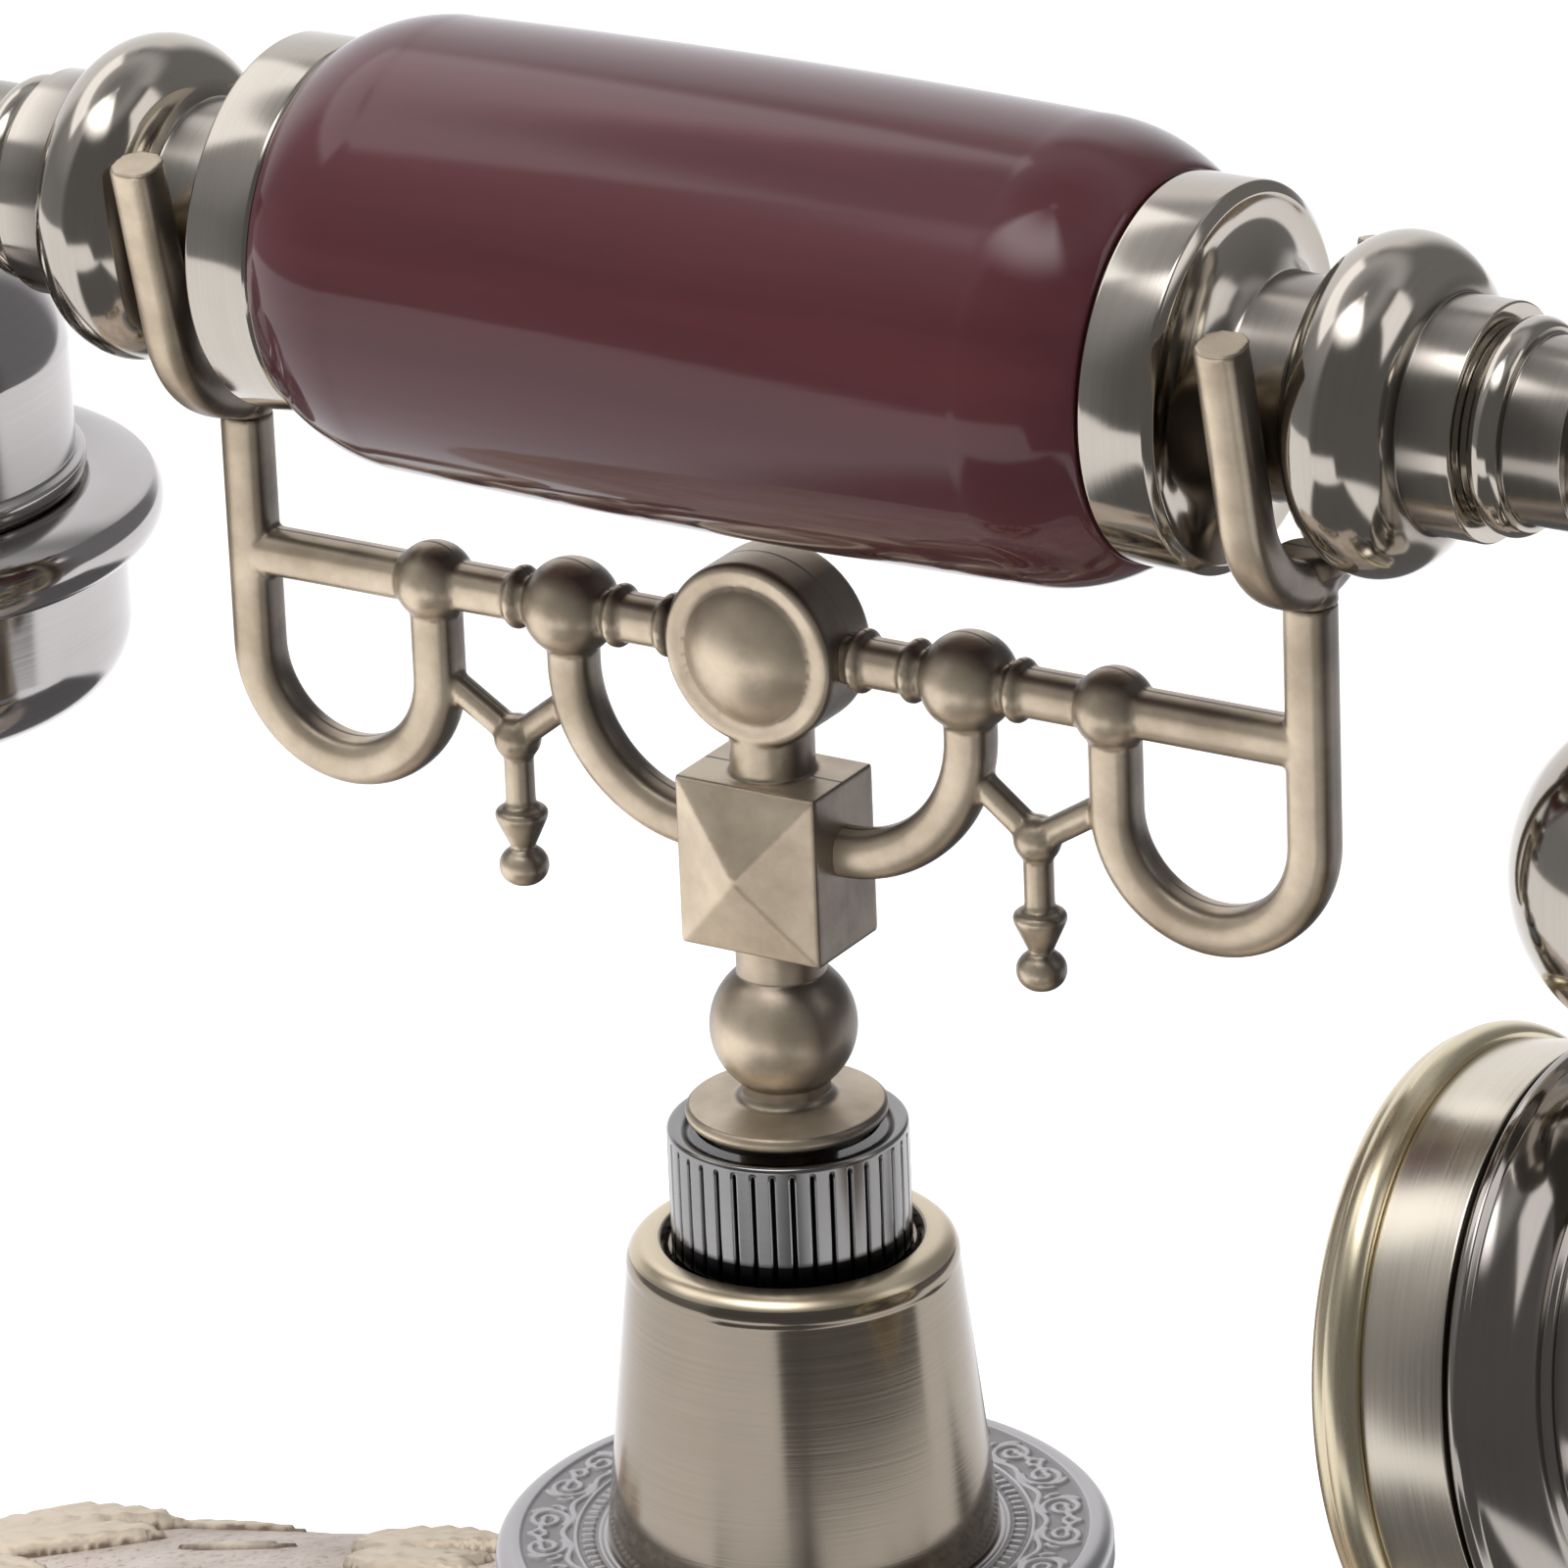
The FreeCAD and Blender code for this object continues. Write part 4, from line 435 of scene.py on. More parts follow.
DECK_SPRAY = ((0, 8, 16, 25, 4.6, 1.7), (0, 15, 12, 23, 4.2, 2.1), (4, 4, -8, 16, 3.0, 1.2),
              (19, 21, 1, 17, 1.6, 0.7), (28, 11, -2, 15, 1.0, 0.6), (50, 9, 10, 18, 3.2, 1.7),
              (52, 5, -4, 16, 3.0, 1.5), (57, 3, 26, 11, 2.4, 1.3))
SPRAY_START = (110.0, 5.5, 140.0)
SPRAY_SIZE = (72.0, 24.0)
for side_name, sign_x in (("left", -1), ("right", 1)):
    for end_name, sign_y in (("front", -1), ("back", 1)):
        corner = (sign_x * SPRAY_START[0], sign_y * SPRAY_START[1], SPRAY_START[2])
        spray = leaf_patch("deck_leaves_%s_%s" % (side_name, end_name), "base_shell", corner,
                           (-sign_x * SPRAY_SIZE[0], 0.0, 0.0), (0.0, sign_y * SPRAY_SIZE[1], 0.0),
                           DECK_SPRAY)
        spray.data.materials.append(leaf_gold)
        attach(spray, "base")


# Pieces under and inside the base: steel plate, screws, rubber feet, ringer, boards and hook switch.
# They are plain stock parts, so each keeps its form and gets the finish of its metal or plastic.
def plain_finish(name, colour, dark, scale, roughness, metallic=0.0, bump=0.05):
    """Quiet two-tone finish for a plain piece: noise mixes two colours and roughens the surface a little."""
    material, tree, output, place = piece_finish(name)
    grain = noise(tree, place, scale, 6.0)
    tone = mixed(tree, grain, dark, colour)
    rough = spread(tree, grain, (0.0, 1.0), (roughness - 0.06, roughness + 0.08))
    relief = bumped(tree, grain, bump, 0.0003)
    surface(tree, output, Base_Color=tone, Roughness=rough, Metallic=metallic, Normal=relief)
    return material


PLAIN_FINISHES = {
    "steel": plain_finish("zinc_steel", (0.58, 0.58, 0.59), (0.46, 0.46, 0.47),
        260.0, 0.34, metallic=1.0),
    "rubber": plain_finish("black_rubber", (0.035, 0.035, 0.035), (0.018, 0.018, 0.019),
        300.0, 0.7, bump=0.2),
    "brass": plain_finish("bell_brass", (0.72, 0.55, 0.26), (0.60, 0.44, 0.19),
        180.0, 0.24, metallic=1.0),
    "board": plain_finish("green_board", (0.035, 0.12, 0.06), (0.025, 0.09, 0.045),
        350.0, 0.45),
    "dark_plastic": plain_finish("dark_plastic", (0.03, 0.03, 0.032), (0.018, 0.018, 0.02),
        500.0, 0.42, bump=0.1),
    "winding": plain_finish("copper_winding", (0.55, 0.24, 0.12), (0.38, 0.15, 0.07),
        900.0, 0.32, metallic=1.0)}
for row in frame["record"]["subparts"]:
    if row["material_slot"] in PLAIN_FINISHES:
        dress(row["node"], PLAIN_FINISHES[row["material_slot"]])


# Key dial: a rolled bezel round a face plate, twelve ivory keys in a ring and a plain domed disc.
# The metal is antique bronze, darker on the plate; the keys are moulded, with numbers printed on.
IVORY = (0.72, 0.65, 0.52)
IVORY_WARM = (0.62, 0.53, 0.39)
INK = (0.03, 0.026, 0.022)
NUMBER_HEIGHT = 5.2
NUMBER_THICK = 0.06
KEY_DISH = 0.5
KEY_NUMBERS = ("1", "2", "3", "4", "5", "6", "7", "8", "9", "*", "0", "#")


def metal_finish(name, light, dark, roughness, scale=150.0):
    """Cast metal with a cloudy tone and fine pitting."""
    material, tree, output, place = piece_finish(name)
    cloud = noise(tree, place, scale, 7.0)
    pits = noise(tree, place, 14 * scale, 2.0)
    level = spread(tree, cloud, (0.35, 0.65))
    tone = mixed(tree, level, dark, light)
    rough = spread(tree, pits, (0.0, 1.0), (roughness - 0.05, roughness + 0.08))
    relief = bumped(tree, pits, 0.06, 0.0001)
    surface(tree, output, Base_Color=tone, Roughness=rough, Metallic=1.0, Normal=relief)
    return material


dress("dial_bezel", metal_finish("bezel_bronze", (0.48, 0.42, 0.33), (0.34, 0.29, 0.22), 0.24))
dress("key_plate", metal_finish("plate_bronze", (0.20, 0.175, 0.14), (0.11, 0.095, 0.075), 0.36))
dress("dial_medallion", metal_finish("medallion_bronze", (0.50, 0.44, 0.34), (0.36, 0.30, 0.22), 0.26))
ivory = plain_finish("key_ivory", IVORY, IVORY_WARM, 130.0, 0.3)
ink = plain_finish("number_ink", INK, tuple(0.6 * part for part in INK), 800.0, 0.5)
joints = {row["child"]: row for row in frame["record"]["behaviour"]["joints"]}
for number, figure in enumerate(KEY_NUMBERS, start=1):
    key = "key_%d" % number
    dress(key, ivory)
    facing = -Vector(joints[key]["axis"])
    low, high = (np.array(corner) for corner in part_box(key))
    rise = facing.cross(Vector((1, 0, 0)))
    top = (stored(frame["nodes"][key].data.vertices, "co") @ np.array(facing)).max()
    middle = Vector((low + high) / 2)
    face = middle + facing * (top - KEY_DISH * MM - middle.dot(facing))
    sign = bpy.data.curves.new("figure_%d" % number, "FONT")
    sign.body = figure
    sign.size = NUMBER_HEIGHT * MM
    sign.align_x = "CENTER"
    sign.align_y = "CENTER"
    sign.extrude = NUMBER_THICK * MM
    drawn = bpy.data.objects.new("figure_%d" % number, sign)
    scene.collection.objects.link(drawn)
    shape = bpy.data.meshes.new_from_object(drawn.evaluated_get(bpy.context.evaluated_depsgraph_get()))
    bpy.data.objects.remove(drawn)
    printed = bpy.data.objects.new("key_number_%d" % number, shape)
    turned = Matrix((Vector((1, 0, 0)), rise, facing)).transposed().to_4x4()
    shape.transform(Matrix.Translation(face) @ turned)
    shape.materials.clear()
    shape.materials.append(ink)
    scene.collection.objects.link(printed)
    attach(printed, key)


# Etched plate: a turned disc of grey bronze with a rolled edge, on the seat of the base under the cone.
# A ring of fine scrolls and a ring of dashes are pressed into its top and left dark in the hollows.
def bow_arc(start, end, bow, step):
    """Circular arc from start to end that stands bow off its chord, to the right of the way along it."""
    start, end = np.array(start, float), np.array(end, float)
    chord = np.linalg.norm(end - start)
    along = (end - start) / chord
    across = np.array((along[1], -along[0]))
    radius = (chord ** 2 / 4 + bow ** 2) / (2 * abs(bow))
    half = math.acos(np.clip((radius - abs(bow)) / radius, -1.0, 1.0))
    centre = (start + end) / 2 + across * (bow - math.copysign(radius, bow))
    count = max(4, int(2 * half * radius / step))
    swing = np.linspace(-half, half, count + 1)[:, None]
    return centre + math.copysign(radius, bow) * across * np.cos(swing) + radius * along * np.sin(swing)


def outline_points(stations, soft, step):
    """Closely spaced outline through stations (radius, height, bow): runs, arcs and rounded corners.
    Each corner sharper than a few degrees becomes a small curve that leaves both sides smoothly."""
    corners = [np.array(station[:2], float) for station in stations]
    closed = stations[0][0] > 0
    points = [corners[0]]
    at_station = [True]
    last = len(stations) if closed else len(stations) - 1
    for number in range(last):
        follower = (number + 1) % len(stations)
        station = stations[follower]
        if len(station) == 3 and station[2]:
            arc = bow_arc(corners[number], corners[follower], station[2], step)[1:-1]
            points.extend(arc)
            at_station.extend([False] * len(arc))
        points.append(corners[follower])
        at_station.append(True)
    if closed:
        points.pop()
        at_station.pop()
    rounded = []
    for number, point in enumerate(points):
        ends = not closed and number in (0, len(points) - 1)
        before = point - points[number - 1]
        after = points[(number + 1) % len(points)] - point
        reach_in, reach_out = np.linalg.norm(before), np.linalg.norm(after)
        straight = ends or before @ after > 0.985 * reach_in * reach_out
        if straight or not at_station[number]:
            rounded.append(point)
            continue
        reach = min(soft, 0.42 * reach_in, 0.42 * reach_out)
        enter, leave = point - before / reach_in * reach, point + after / reach_out * reach
        for share in np.linspace(0.0, 1.0, 5):
            rounded.append(enter * (1 - share) ** 2 + 2 * point * share * (1 - share) + leave * share ** 2)
    return np.array(rounded), closed


def hollow_share(line, width):
    """How deep each point of an outline lies in a groove: its own radius against the radius smoothed
    along the outline."""
    run = np.concatenate(([0.0], np.cumsum(np.linalg.norm(np.diff(line, axis=0), axis=1))))
    spaced = np.linspace(0.0, run[-1], max(16, int(run[-1] / 0.1)))
    radius = np.interp(spaced, run, line[:, 0])
    reach = np.arange(-3 * width, 3 * width + 0.05, 0.1)
    weight = np.exp(-0.5 * (reach / width) ** 2)
    padded = np.pad(radius, len(reach) // 2, mode="edge")
    smooth = np.convolve(padded, weight / weight.sum(), mode="same")[len(reach) // 2:][:len(radius)]
    return np.interp(run, spaced, np.clip((smooth - radius) / width, 0.0, 1.0))


def lathe_mesh(stations, origin, direction, segments=160, soft=0.25, step=0.4, hollow=1.2):
    """Turned surface: every outline point (radius, height) in mm is carried round the axis through origin.
    Gives points in metres, faces and each point's share of groove."""
    line, closed = outline_points(stations, soft, step)
    share = hollow_share(line, hollow)
    turn = np.linspace(0.0, 2 * math.pi, segments, endpoint=False)
    rows = line if closed else line[1:-1]
    local = np.stack((np.outer(rows[:, 0], np.cos(turn)), np.outer(rows[:, 0], np.sin(turn)),
                      np.repeat(rows[:, 1:], segments, axis=1)), -1).reshape(-1, 3)
    groove = np.repeat(share if closed else share[1:-1], segments)
    faces = [grid_faces(len(rows), segments, closed, True)]
    if not closed:
        ring = np.arange(segments)
        after = (ring + 1) % segments
        top = (len(rows) - 1) * segments
        poles = np.array(((0.0, 0.0, line[0, 1]), (0.0, 0.0, line[-1, 1])))
        faces.append(np.stack((np.full(segments, len(local)), after, ring), -1))
        faces.append(np.stack((np.full(segments, len(local) + 1), top + ring, top + after), -1))
        local = np.concatenate((local, poles))
        groove = np.concatenate((groove, share[[0, -1]]))
    turned = np.array(Vector((0, 0, 1)).rotation_difference(Vector(direction)).to_matrix())
    return (local @ turned.T + np.array(origin)) * MM, faces, groove


def lathe(name, stations, origin, direction, **settings):
    """Piece made by lathe_mesh, with its groove share stored for the patina."""
    points, faces, groove = lathe_mesh(stations, origin, direction, **settings)
    piece = add_mesh(name, points, faces)
    set_share(piece, "groove", groove)
    return piece


def stand_for(piece, node, material):
    """The piece takes the node's place on its body, with a finish of its own."""
    piece.data.materials.append(material)
    body = frame["nodes"][node]["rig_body"]
    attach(piece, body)
    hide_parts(node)


def second_finish(piece, material, chosen):
    """Gives the faces whose middles are chosen a second material; chosen is a test on points in mm."""
    faces = piece.data.polygons
    piece.data.materials.append(material)
    faces.foreach_set("material_index", chosen(stored(faces, "center") / MM).astype(np.int32))


def turned_bronze(name, light, dark, roughness, axis, brush=1.0, patina=(0.045, 0.04, 0.034)):
    """Antique bronze plate on a turned piece: fine rings left by brushing round the axis, cloudy tone,
    and dark patina in the grooves, which are rougher too."""
    material, tree, output, place = piece_finish(name)
    upright = Vector(axis).rotation_difference(Vector((0, 0, 1))).to_euler()
    stood = shader_node(tree, "Mapping", Vector=place, Rotation=upright)
    rings = shader_node(tree, "Mapping", Vector=stood, Scale=(45.0, 45.0, 3200.0))
    fine = noise(tree, rings, 1.0, 3.0)
    cloud = noise(tree, place, 38.0, 5.0)
    wash = math_node(tree, "MULTIPLY_ADD", fine, 0.35 * brush, cloud)
    level = spread(tree, wash, (0.35, 0.95))
    tone = mixed(tree, level, dark, light)
    groove = attribute(tree, "groove")
    deep = spread(tree, groove, (0.05, 0.55))
    aged = mixed(tree, deep, tone, patina)
    worn = math_node(tree, "MULTIPLY_ADD", deep, 0.22, roughness)
    rough = math_node(tree, "MULTIPLY_ADD", fine, 0.07 * brush, worn)
    relief = bumped(tree, fine, 0.07 * brush, 0.00004)
    surface(tree, output, Base_Color=aged, Roughness=rough, Metallic=1.0, Normal=relief)
    return material


UPRIGHT = (0, 0, 1)
PLATE_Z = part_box("etched_plate")[0][2] / MM
PLATE_THICK = 4.0
PLATE_RADIUS = 28.0
PLATE_BORE = 4.3
PLATE_ROLL = 1.6
PLATE_EASE = 0.6
PLATE_INNER = 12.0
QUARTER_BOW = 0.2929
PLATE_COLUMNS = 840
FIELD_INNER = (18.1, 18.4)
FIELD_OUTER = (25.95, 26.2)
SCROLL_MIDDLE = 23.3
SCROLL_SECTORS = 12
SCROLL_HALF_WIDTH = 0.34
SCROLL_DEPTH = 0.22
SCROLL_LOBES = ((4.6, 0.2, 62, 1.7), (4.9, -0.9, 20, 1.2), (0.1, 1.6, -70, 2.3), (0.2, 0.2, 15, 0.9))
DASH_COUNT = 108
DASH_RING = (18.9, 20.3)
DASH_SOFT = 0.25
LINE_RINGS = (18.5, 20.75, 25.95)


def scroll_lines():
    """Points of one half sector's vine: a wave along the ring, a spiral that curls off it and leaf lobes."""
    half = math.pi * SCROLL_MIDDLE / SCROLL_SECTORS
    run = np.linspace(0.0, 1.0, 60)
    vine = np.stack((half * run, -1.75 + 0.35 * np.cos(2 * math.pi * run)), -1)
    turn = np.linspace(-0.55, 3.1 * math.pi, 120)
    reach = np.linspace(1.95, 0.35, 120)
    curl = np.stack((2.75 + reach * np.sin(turn) * 1.05, 0.25 - reach * np.cos(turn)), -1)
    lobes = []
    for x, y, angle, length in SCROLL_LOBES:
        share = np.linspace(0.0, 1.0, 24)
        bend = math.radians(angle) + 0.8 * share
        lobes.append(np.stack((x + length * share * np.cos(bend), y + length * share * np.sin(bend)), -1))
    return np.concatenate([vine, curl] + lobes)


def etched_height(radius, turn):
    """Share of raised metal on the plate's top: near a scroll line, on a dash or on a thin circle it is 1."""
    half = math.pi / SCROLL_SECTORS
    folded = np.abs((turn + half) % (2 * half) - half)
    along = folded * SCROLL_MIDDLE
    across = radius - SCROLL_MIDDLE
    near = np.full(radius.shape, 9.0)
    for x, y in scroll_lines():
        near = np.minimum(near, np.hypot(along - x, across - y))
    raised = 1 - smooth_step(near, 0.5 * SCROLL_HALF_WIDTH, 1.3 * SCROLL_HALF_WIDTH)
    phase = np.abs((turn * DASH_COUNT / (2 * math.pi)) % 1.0 - 0.5)
    inside = smooth_step(radius, DASH_RING[0], DASH_RING[0] + DASH_SOFT)
    inside = inside * (1 - smooth_step(radius, DASH_RING[1] - DASH_SOFT, DASH_RING[1]))
    raised = np.maximum(raised, inside * (1 - smooth_step(phase, 0.22, 0.34)))
    for ring in LINE_RINGS:
        raised = np.maximum(raised, 1 - smooth_step(np.abs(radius - ring), 0.12, 0.3))
    outside = np.maximum(1 - smooth_step(radius, *FIELD_INNER), smooth_step(radius, *FIELD_OUTER))
    return np.maximum(raised, outside)


def turned_grid(name, radius, height, turn):
    """Closed ring round the upright axis from grids of radius and height in mm and each column's turn."""
    points = np.stack((radius * np.cos(turn), radius * np.sin(turn), height), -1).reshape(-1, 3) * MM
    return add_mesh(name, points, [grid_faces(*radius.shape, True, True)])


top_run = np.concatenate((np.linspace(26.4, 17.6, 56), (PLATE_INNER, PLATE_BORE)))
roll = bow_arc((PLATE_RADIUS, PLATE_THICK - PLATE_ROLL), (PLATE_RADIUS - PLATE_ROLL, PLATE_THICK),
               QUARTER_BOW * PLATE_ROLL, 0.25)
ease = bow_arc((PLATE_RADIUS - PLATE_EASE, 0.0), (PLATE_RADIUS, PLATE_EASE), QUARTER_BOW * PLATE_EASE, 0.2)
plate_line = np.concatenate((
    ((PLATE_BORE, 0.0), (PLATE_INNER, 0.0)), ease, ((PLATE_RADIUS, 1.5),), roll,
    np.stack((top_run[1:], np.full(len(top_run) - 1, PLATE_THICK)), -1)))
plate_turn = np.linspace(0.0, 2 * math.pi, PLATE_COLUMNS, endpoint=False)
plate_r = np.repeat(plate_line[:, :1], PLATE_COLUMNS, axis=1)
plate_z = np.repeat(plate_line[:, 1:], PLATE_COLUMNS, axis=1)
plate_t = np.repeat(plate_turn[None, :], len(plate_line), axis=0)
on_top = (plate_z > PLATE_THICK - 1e-6) & (plate_r > 17.0)
pressed = np.zeros_like(plate_r)
pressed[on_top] = 1 - etched_height(plate_r[on_top], plate_t[on_top])
etched = turned_grid("etched_disc", plate_r, PLATE_Z + plate_z - SCROLL_DEPTH * pressed, plate_t)
set_share(etched, "groove", pressed.ravel())
pewter = turned_bronze("plate_pewter", (0.54, 0.53, 0.525), (0.46, 0.45, 0.445), 0.32, UPRIGHT,
                       brush=0.6, patina=(0.41, 0.40, 0.395))
stand_for(etched, "etched_plate", pewter)


# Stand cone: a hollow spun cone on the plate, its top edge rolled and painted light gold as a painted
# highlight.
# Antique bronze, brushed round by hand, so it shows fine level lines.
CONE_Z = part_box("stand_cone")[0][2] / MM
CONE_OUTLINE = ((15.6, 0.0), (17.5, 0.0), (17.8, 0.3), (14.95, 26.7), (13.0, 29.3, 0.7), (11.9, 29.4),
                (11.2, 28.4), (6.0, 28.4), (6.0, 26.5), (12.6, 26.5))
CONE_RIM = (12.0, 28.2)
cone = lathe("cone_spun", CONE_OUTLINE, (0, 0, CONE_Z), UPRIGHT)
cone_bronze = turned_bronze("cone_bronze", (0.34, 0.295, 0.235), (0.25, 0.215, 0.165), 0.1, UPRIGHT,
                            brush=1.3)
stand_for(cone, "stand_cone", cone_bronze)
# Painted highlight: the rolled top edge takes a far lighter gold than the cone.
rim_painted_highlight = turned_bronze("cone_rim_gold", (0.78, 0.68, 0.50), (0.62, 0.53, 0.38), 0.28, UPRIGHT, brush=0.5)
second_finish(cone, rim_painted_highlight, lambda at: (np.hypot(at[:, 0], at[:, 1]) > CONE_RIM[0])
              & (at[:, 2] > CONE_Z + CONE_RIM[1]))


# Knurled collar: a turned ring with upright ribs and a narrow plain edge, set into the cone's dished top.
# Gunmetal, black between the ribs, with black painted shade along its lower edge where it sits in the cone.
COLLAR_SINK = 1.0
COLLAR_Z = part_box("knurled_collar")[0][2] / MM - COLLAR_SINK
COLLAR_RADIUS = 10.8
COLLAR_BORE = 8.4
COLLAR_HEIGHT = 11.8
COLLAR_RIBS = 38
COLLAR_COLUMNS = 14 * COLLAR_RIBS
RIB_DEPTH = 0.7
RIB_HALF = 0.7
RIB_FLANK = 0.14
RIB_TOP = 11.2
RIB_RUN_OUT = 0.8
COLLAR_ROUND = 0.4
COLLAR_EASE = 0.35
COLLAR_BOWS = (0.1, 0.117)
# Heights of the painted shade along the collar's lower edge.
COLLAR_FOOT_SHADE = (1.8, 2.7)
collar_rise = np.concatenate((np.linspace(COLLAR_EASE, 9.6, 24), np.linspace(9.7, 11.1, 14),
                              np.linspace(11.2, COLLAR_HEIGHT - COLLAR_ROUND, 3)))
collar_foot = bow_arc((COLLAR_RADIUS - COLLAR_EASE, 0.0), (COLLAR_RADIUS, COLLAR_EASE), COLLAR_BOWS[0], 0.1)
collar_top = bow_arc((COLLAR_RADIUS, COLLAR_HEIGHT - COLLAR_ROUND),
                     (COLLAR_RADIUS - COLLAR_ROUND, COLLAR_HEIGHT), COLLAR_BOWS[1], 0.1)
collar_line = np.concatenate((((COLLAR_BORE, 0.0), (10.3, 0.0)), collar_foot[:-1],
                              np.stack((np.full(len(collar_rise), COLLAR_RADIUS), collar_rise), -1),
                              collar_top[1:], ((COLLAR_BORE, COLLAR_HEIGHT),)))
collar_turn = np.linspace(0.0, 2 * math.pi, COLLAR_COLUMNS, endpoint=False)
pitch = 2 * math.pi * COLLAR_RADIUS / COLLAR_RIBS
off_rib = np.abs((collar_turn * COLLAR_RIBS / (2 * math.pi)) % 1.0 - 0.5) * pitch
between = smooth_step(off_rib, RIB_HALF, RIB_HALF + RIB_FLANK)[None, :]
ribbed = (1 - smooth_step(collar_line[:, 1:], RIB_TOP - RIB_RUN_OUT, RIB_TOP)) * (collar_line[:, :1] > 10.0)
collar_r = collar_line[:, :1] - RIB_DEPTH * between * ribbed
collar_z = np.repeat(COLLAR_Z + collar_line[:, 1:], COLLAR_COLUMNS, axis=1)
collar = turned_grid("collar_ribbed", collar_r, collar_z, collar_turn)
# Painted shade: the lower edge, sunk in the cone's top, is made black through the groove share.
painted_foot_shade = np.repeat(1 - smooth_step(collar_line[:, 1:], *COLLAR_FOOT_SHADE), COLLAR_COLUMNS, axis=1)
set_share(collar, "groove", np.maximum(between * ribbed, painted_foot_shade).ravel())
gunmetal = turned_bronze("collar_gunmetal", (0.36, 0.355, 0.345), (0.26, 0.255, 0.25), 0.16, UPRIGHT,
                         brush=0.5, patina=(0.012, 0.012, 0.013))
stand_for(collar, "knurled_collar", gunmetal)


# Cradle: stem, hub, two arms and two forks, cast in brass and joined, with a satin antique finish.
# The broad faces front and back are pale; the sides are brown, partly worn antique finish and partly painted
# shade, painted lighter on faces that look up; the corners and the seam of the mould stay brown.
BRASS_PALE = (0.80, 0.675, 0.505)
BRASS_DEEP = (0.55, 0.45, 0.325)
# Brown of the patina, of the mould seam and of the painted shade on the sides.
BRASS_PATINA_AND_SHADE = (0.085, 0.073, 0.068)
DISC_RADIUS = 8.5
BAR_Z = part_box("cradle_hub")[1][2] / MM - DISC_RADIUS
STEM_TOP = 18.4
STEM_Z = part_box("cradle_stem")[1][2] / MM - STEM_TOP
STEM_DROP = STEM_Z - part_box("cradle_stem")[0][2] / MM


def cast_brass(name, seam_share=0.98):
    """Satin brass: pale where it faces front or back; brown on its sides as painted shade, lighter where they
    look up; brown patina in its hollows and brown on the mould seam."""
    material, tree, output, place = piece_finish(name)
    cloud = noise(tree, place, 110.0, 7.0, 0.6)
    pits = noise(tree, place, 2600.0, 3.0)
    level = spread(tree, cloud, (0.36, 0.62))
    tone = mixed(tree, level, BRASS_DEEP, BRASS_PALE)
    normal = shader_node(tree, "NewGeometry", out="Normal")
    aside = math_node(tree, "ABSOLUTE", shader_node(tree, "SeparateXYZ", out="Y", Vector=normal))
    upward = shader_node(tree, "SeparateXYZ", out="Z", Vector=normal)
    # Painted shade: brown where the face turns sideways, away from front and back, eased where it looks up.
    painted_side_shade = spread(tree, aside, (0.46, 0.93), (0.95, 0.0))
    painted_top_light = spread(tree, upward, (0.8, 0.96), (1.0, 0.35))
    side = math_node(tree, "MULTIPLY", painted_side_shade, painted_top_light)
    hollow = attribute(tree, "groove")
    deep = spread(tree, hollow, (0.1, 0.7))
    depth = shader_node(tree, "SeparateXYZ", out="Y", Vector=place)
    off_seam = math_node(tree, "ABSOLUTE", depth)
    seam = spread(tree, off_seam, (0.00012, 0.00026), (seam_share, 0.0))
    # Painted side shade and patina in the hollows are joined here, and both take the brown below.
    patina_and_shade = math_node(tree, "MAXIMUM", side, deep)
    marked = math_node(tree, "MAXIMUM", patina_and_shade, seam)
    patchy = spread(tree, cloud, (0.3, 0.55), (1.0, 0.9))
    ragged = math_node(tree, "MULTIPLY", marked, patchy)
    aged = mixed(tree, ragged, tone, BRASS_PATINA_AND_SHADE)
    rough = spread(tree, pits, (0.0, 1.0), (0.29, 0.42))
    relief = bumped(tree, pits, 0.10, 0.0001)
    surface(tree, output, Base_Color=aged, Roughness=rough, Metallic=0.78, Normal=relief)
    return material


def hollow_places(mesh, rounds, depth):
    """How deep each point lies in a hollow: its way along its normal to the mesh averaged over its
    neighbours."""
    count = len(mesh.vertices)
    points = stored(mesh.vertices, "co")
    normals = stored(mesh.vertices, "normal")
    edges = stored(mesh.edges, "vertices", int, 2)
    one, other = edges.T
    degree = np.bincount(edges.ravel(), minlength=count)[:, None]
    eased = points
    for _ in range(rounds):
        total = [np.bincount(one, eased[other, axis], count) + np.bincount(other, eased[one, axis], count)
                 for axis in range(3)]
        eased = 0.5 * eased + 0.5 * np.stack(total, -1) / degree
    return np.clip(((eased - points) * normals).sum(1) / (depth * MM), 0.0, 1.0)


def merged(shells):
    """Points and faces of several shells as those of one mesh."""
    start = np.cumsum([0] + [len(shell[0]) for shell in shells])
    faces = [part + first for shell, first in zip(shells, start) for part in shell[1]]
    return np.concatenate([shell[0] for shell in shells]), faces


def cast(name, shells, voxel, rounds):
    """One casting from overlapping closed shells (points in metres, faces): they are melted together on
    a grid of small cells, and the joints between them are eased."""
    rough = add_mesh(name + "_shells", *merged(shells))
    melt = rough.modifiers.new("melt", "REMESH")
    melt.mode = "VOXEL"
    melt.voxel_size = voxel * MM
    melt.use_smooth_shade = True
    ease = rough.modifiers.new("ease", "SMOOTH")
    ease.factor = 0.5
    ease.iterations = rounds
    mesh = bpy.data.meshes.new_from_object(rough.evaluated_get(bpy.context.evaluated_depsgraph_get()))
    bpy.data.objects.remove(rough)
    mesh.polygons.foreach_set("use_smooth", np.ones(len(mesh.polygons), bool))
    piece = bpy.data.objects.new(name, mesh)
    scene.collection.objects.link(piece)
    set_share(piece, "groove", hollow_places(mesh, 14, 0.22))
    return piece


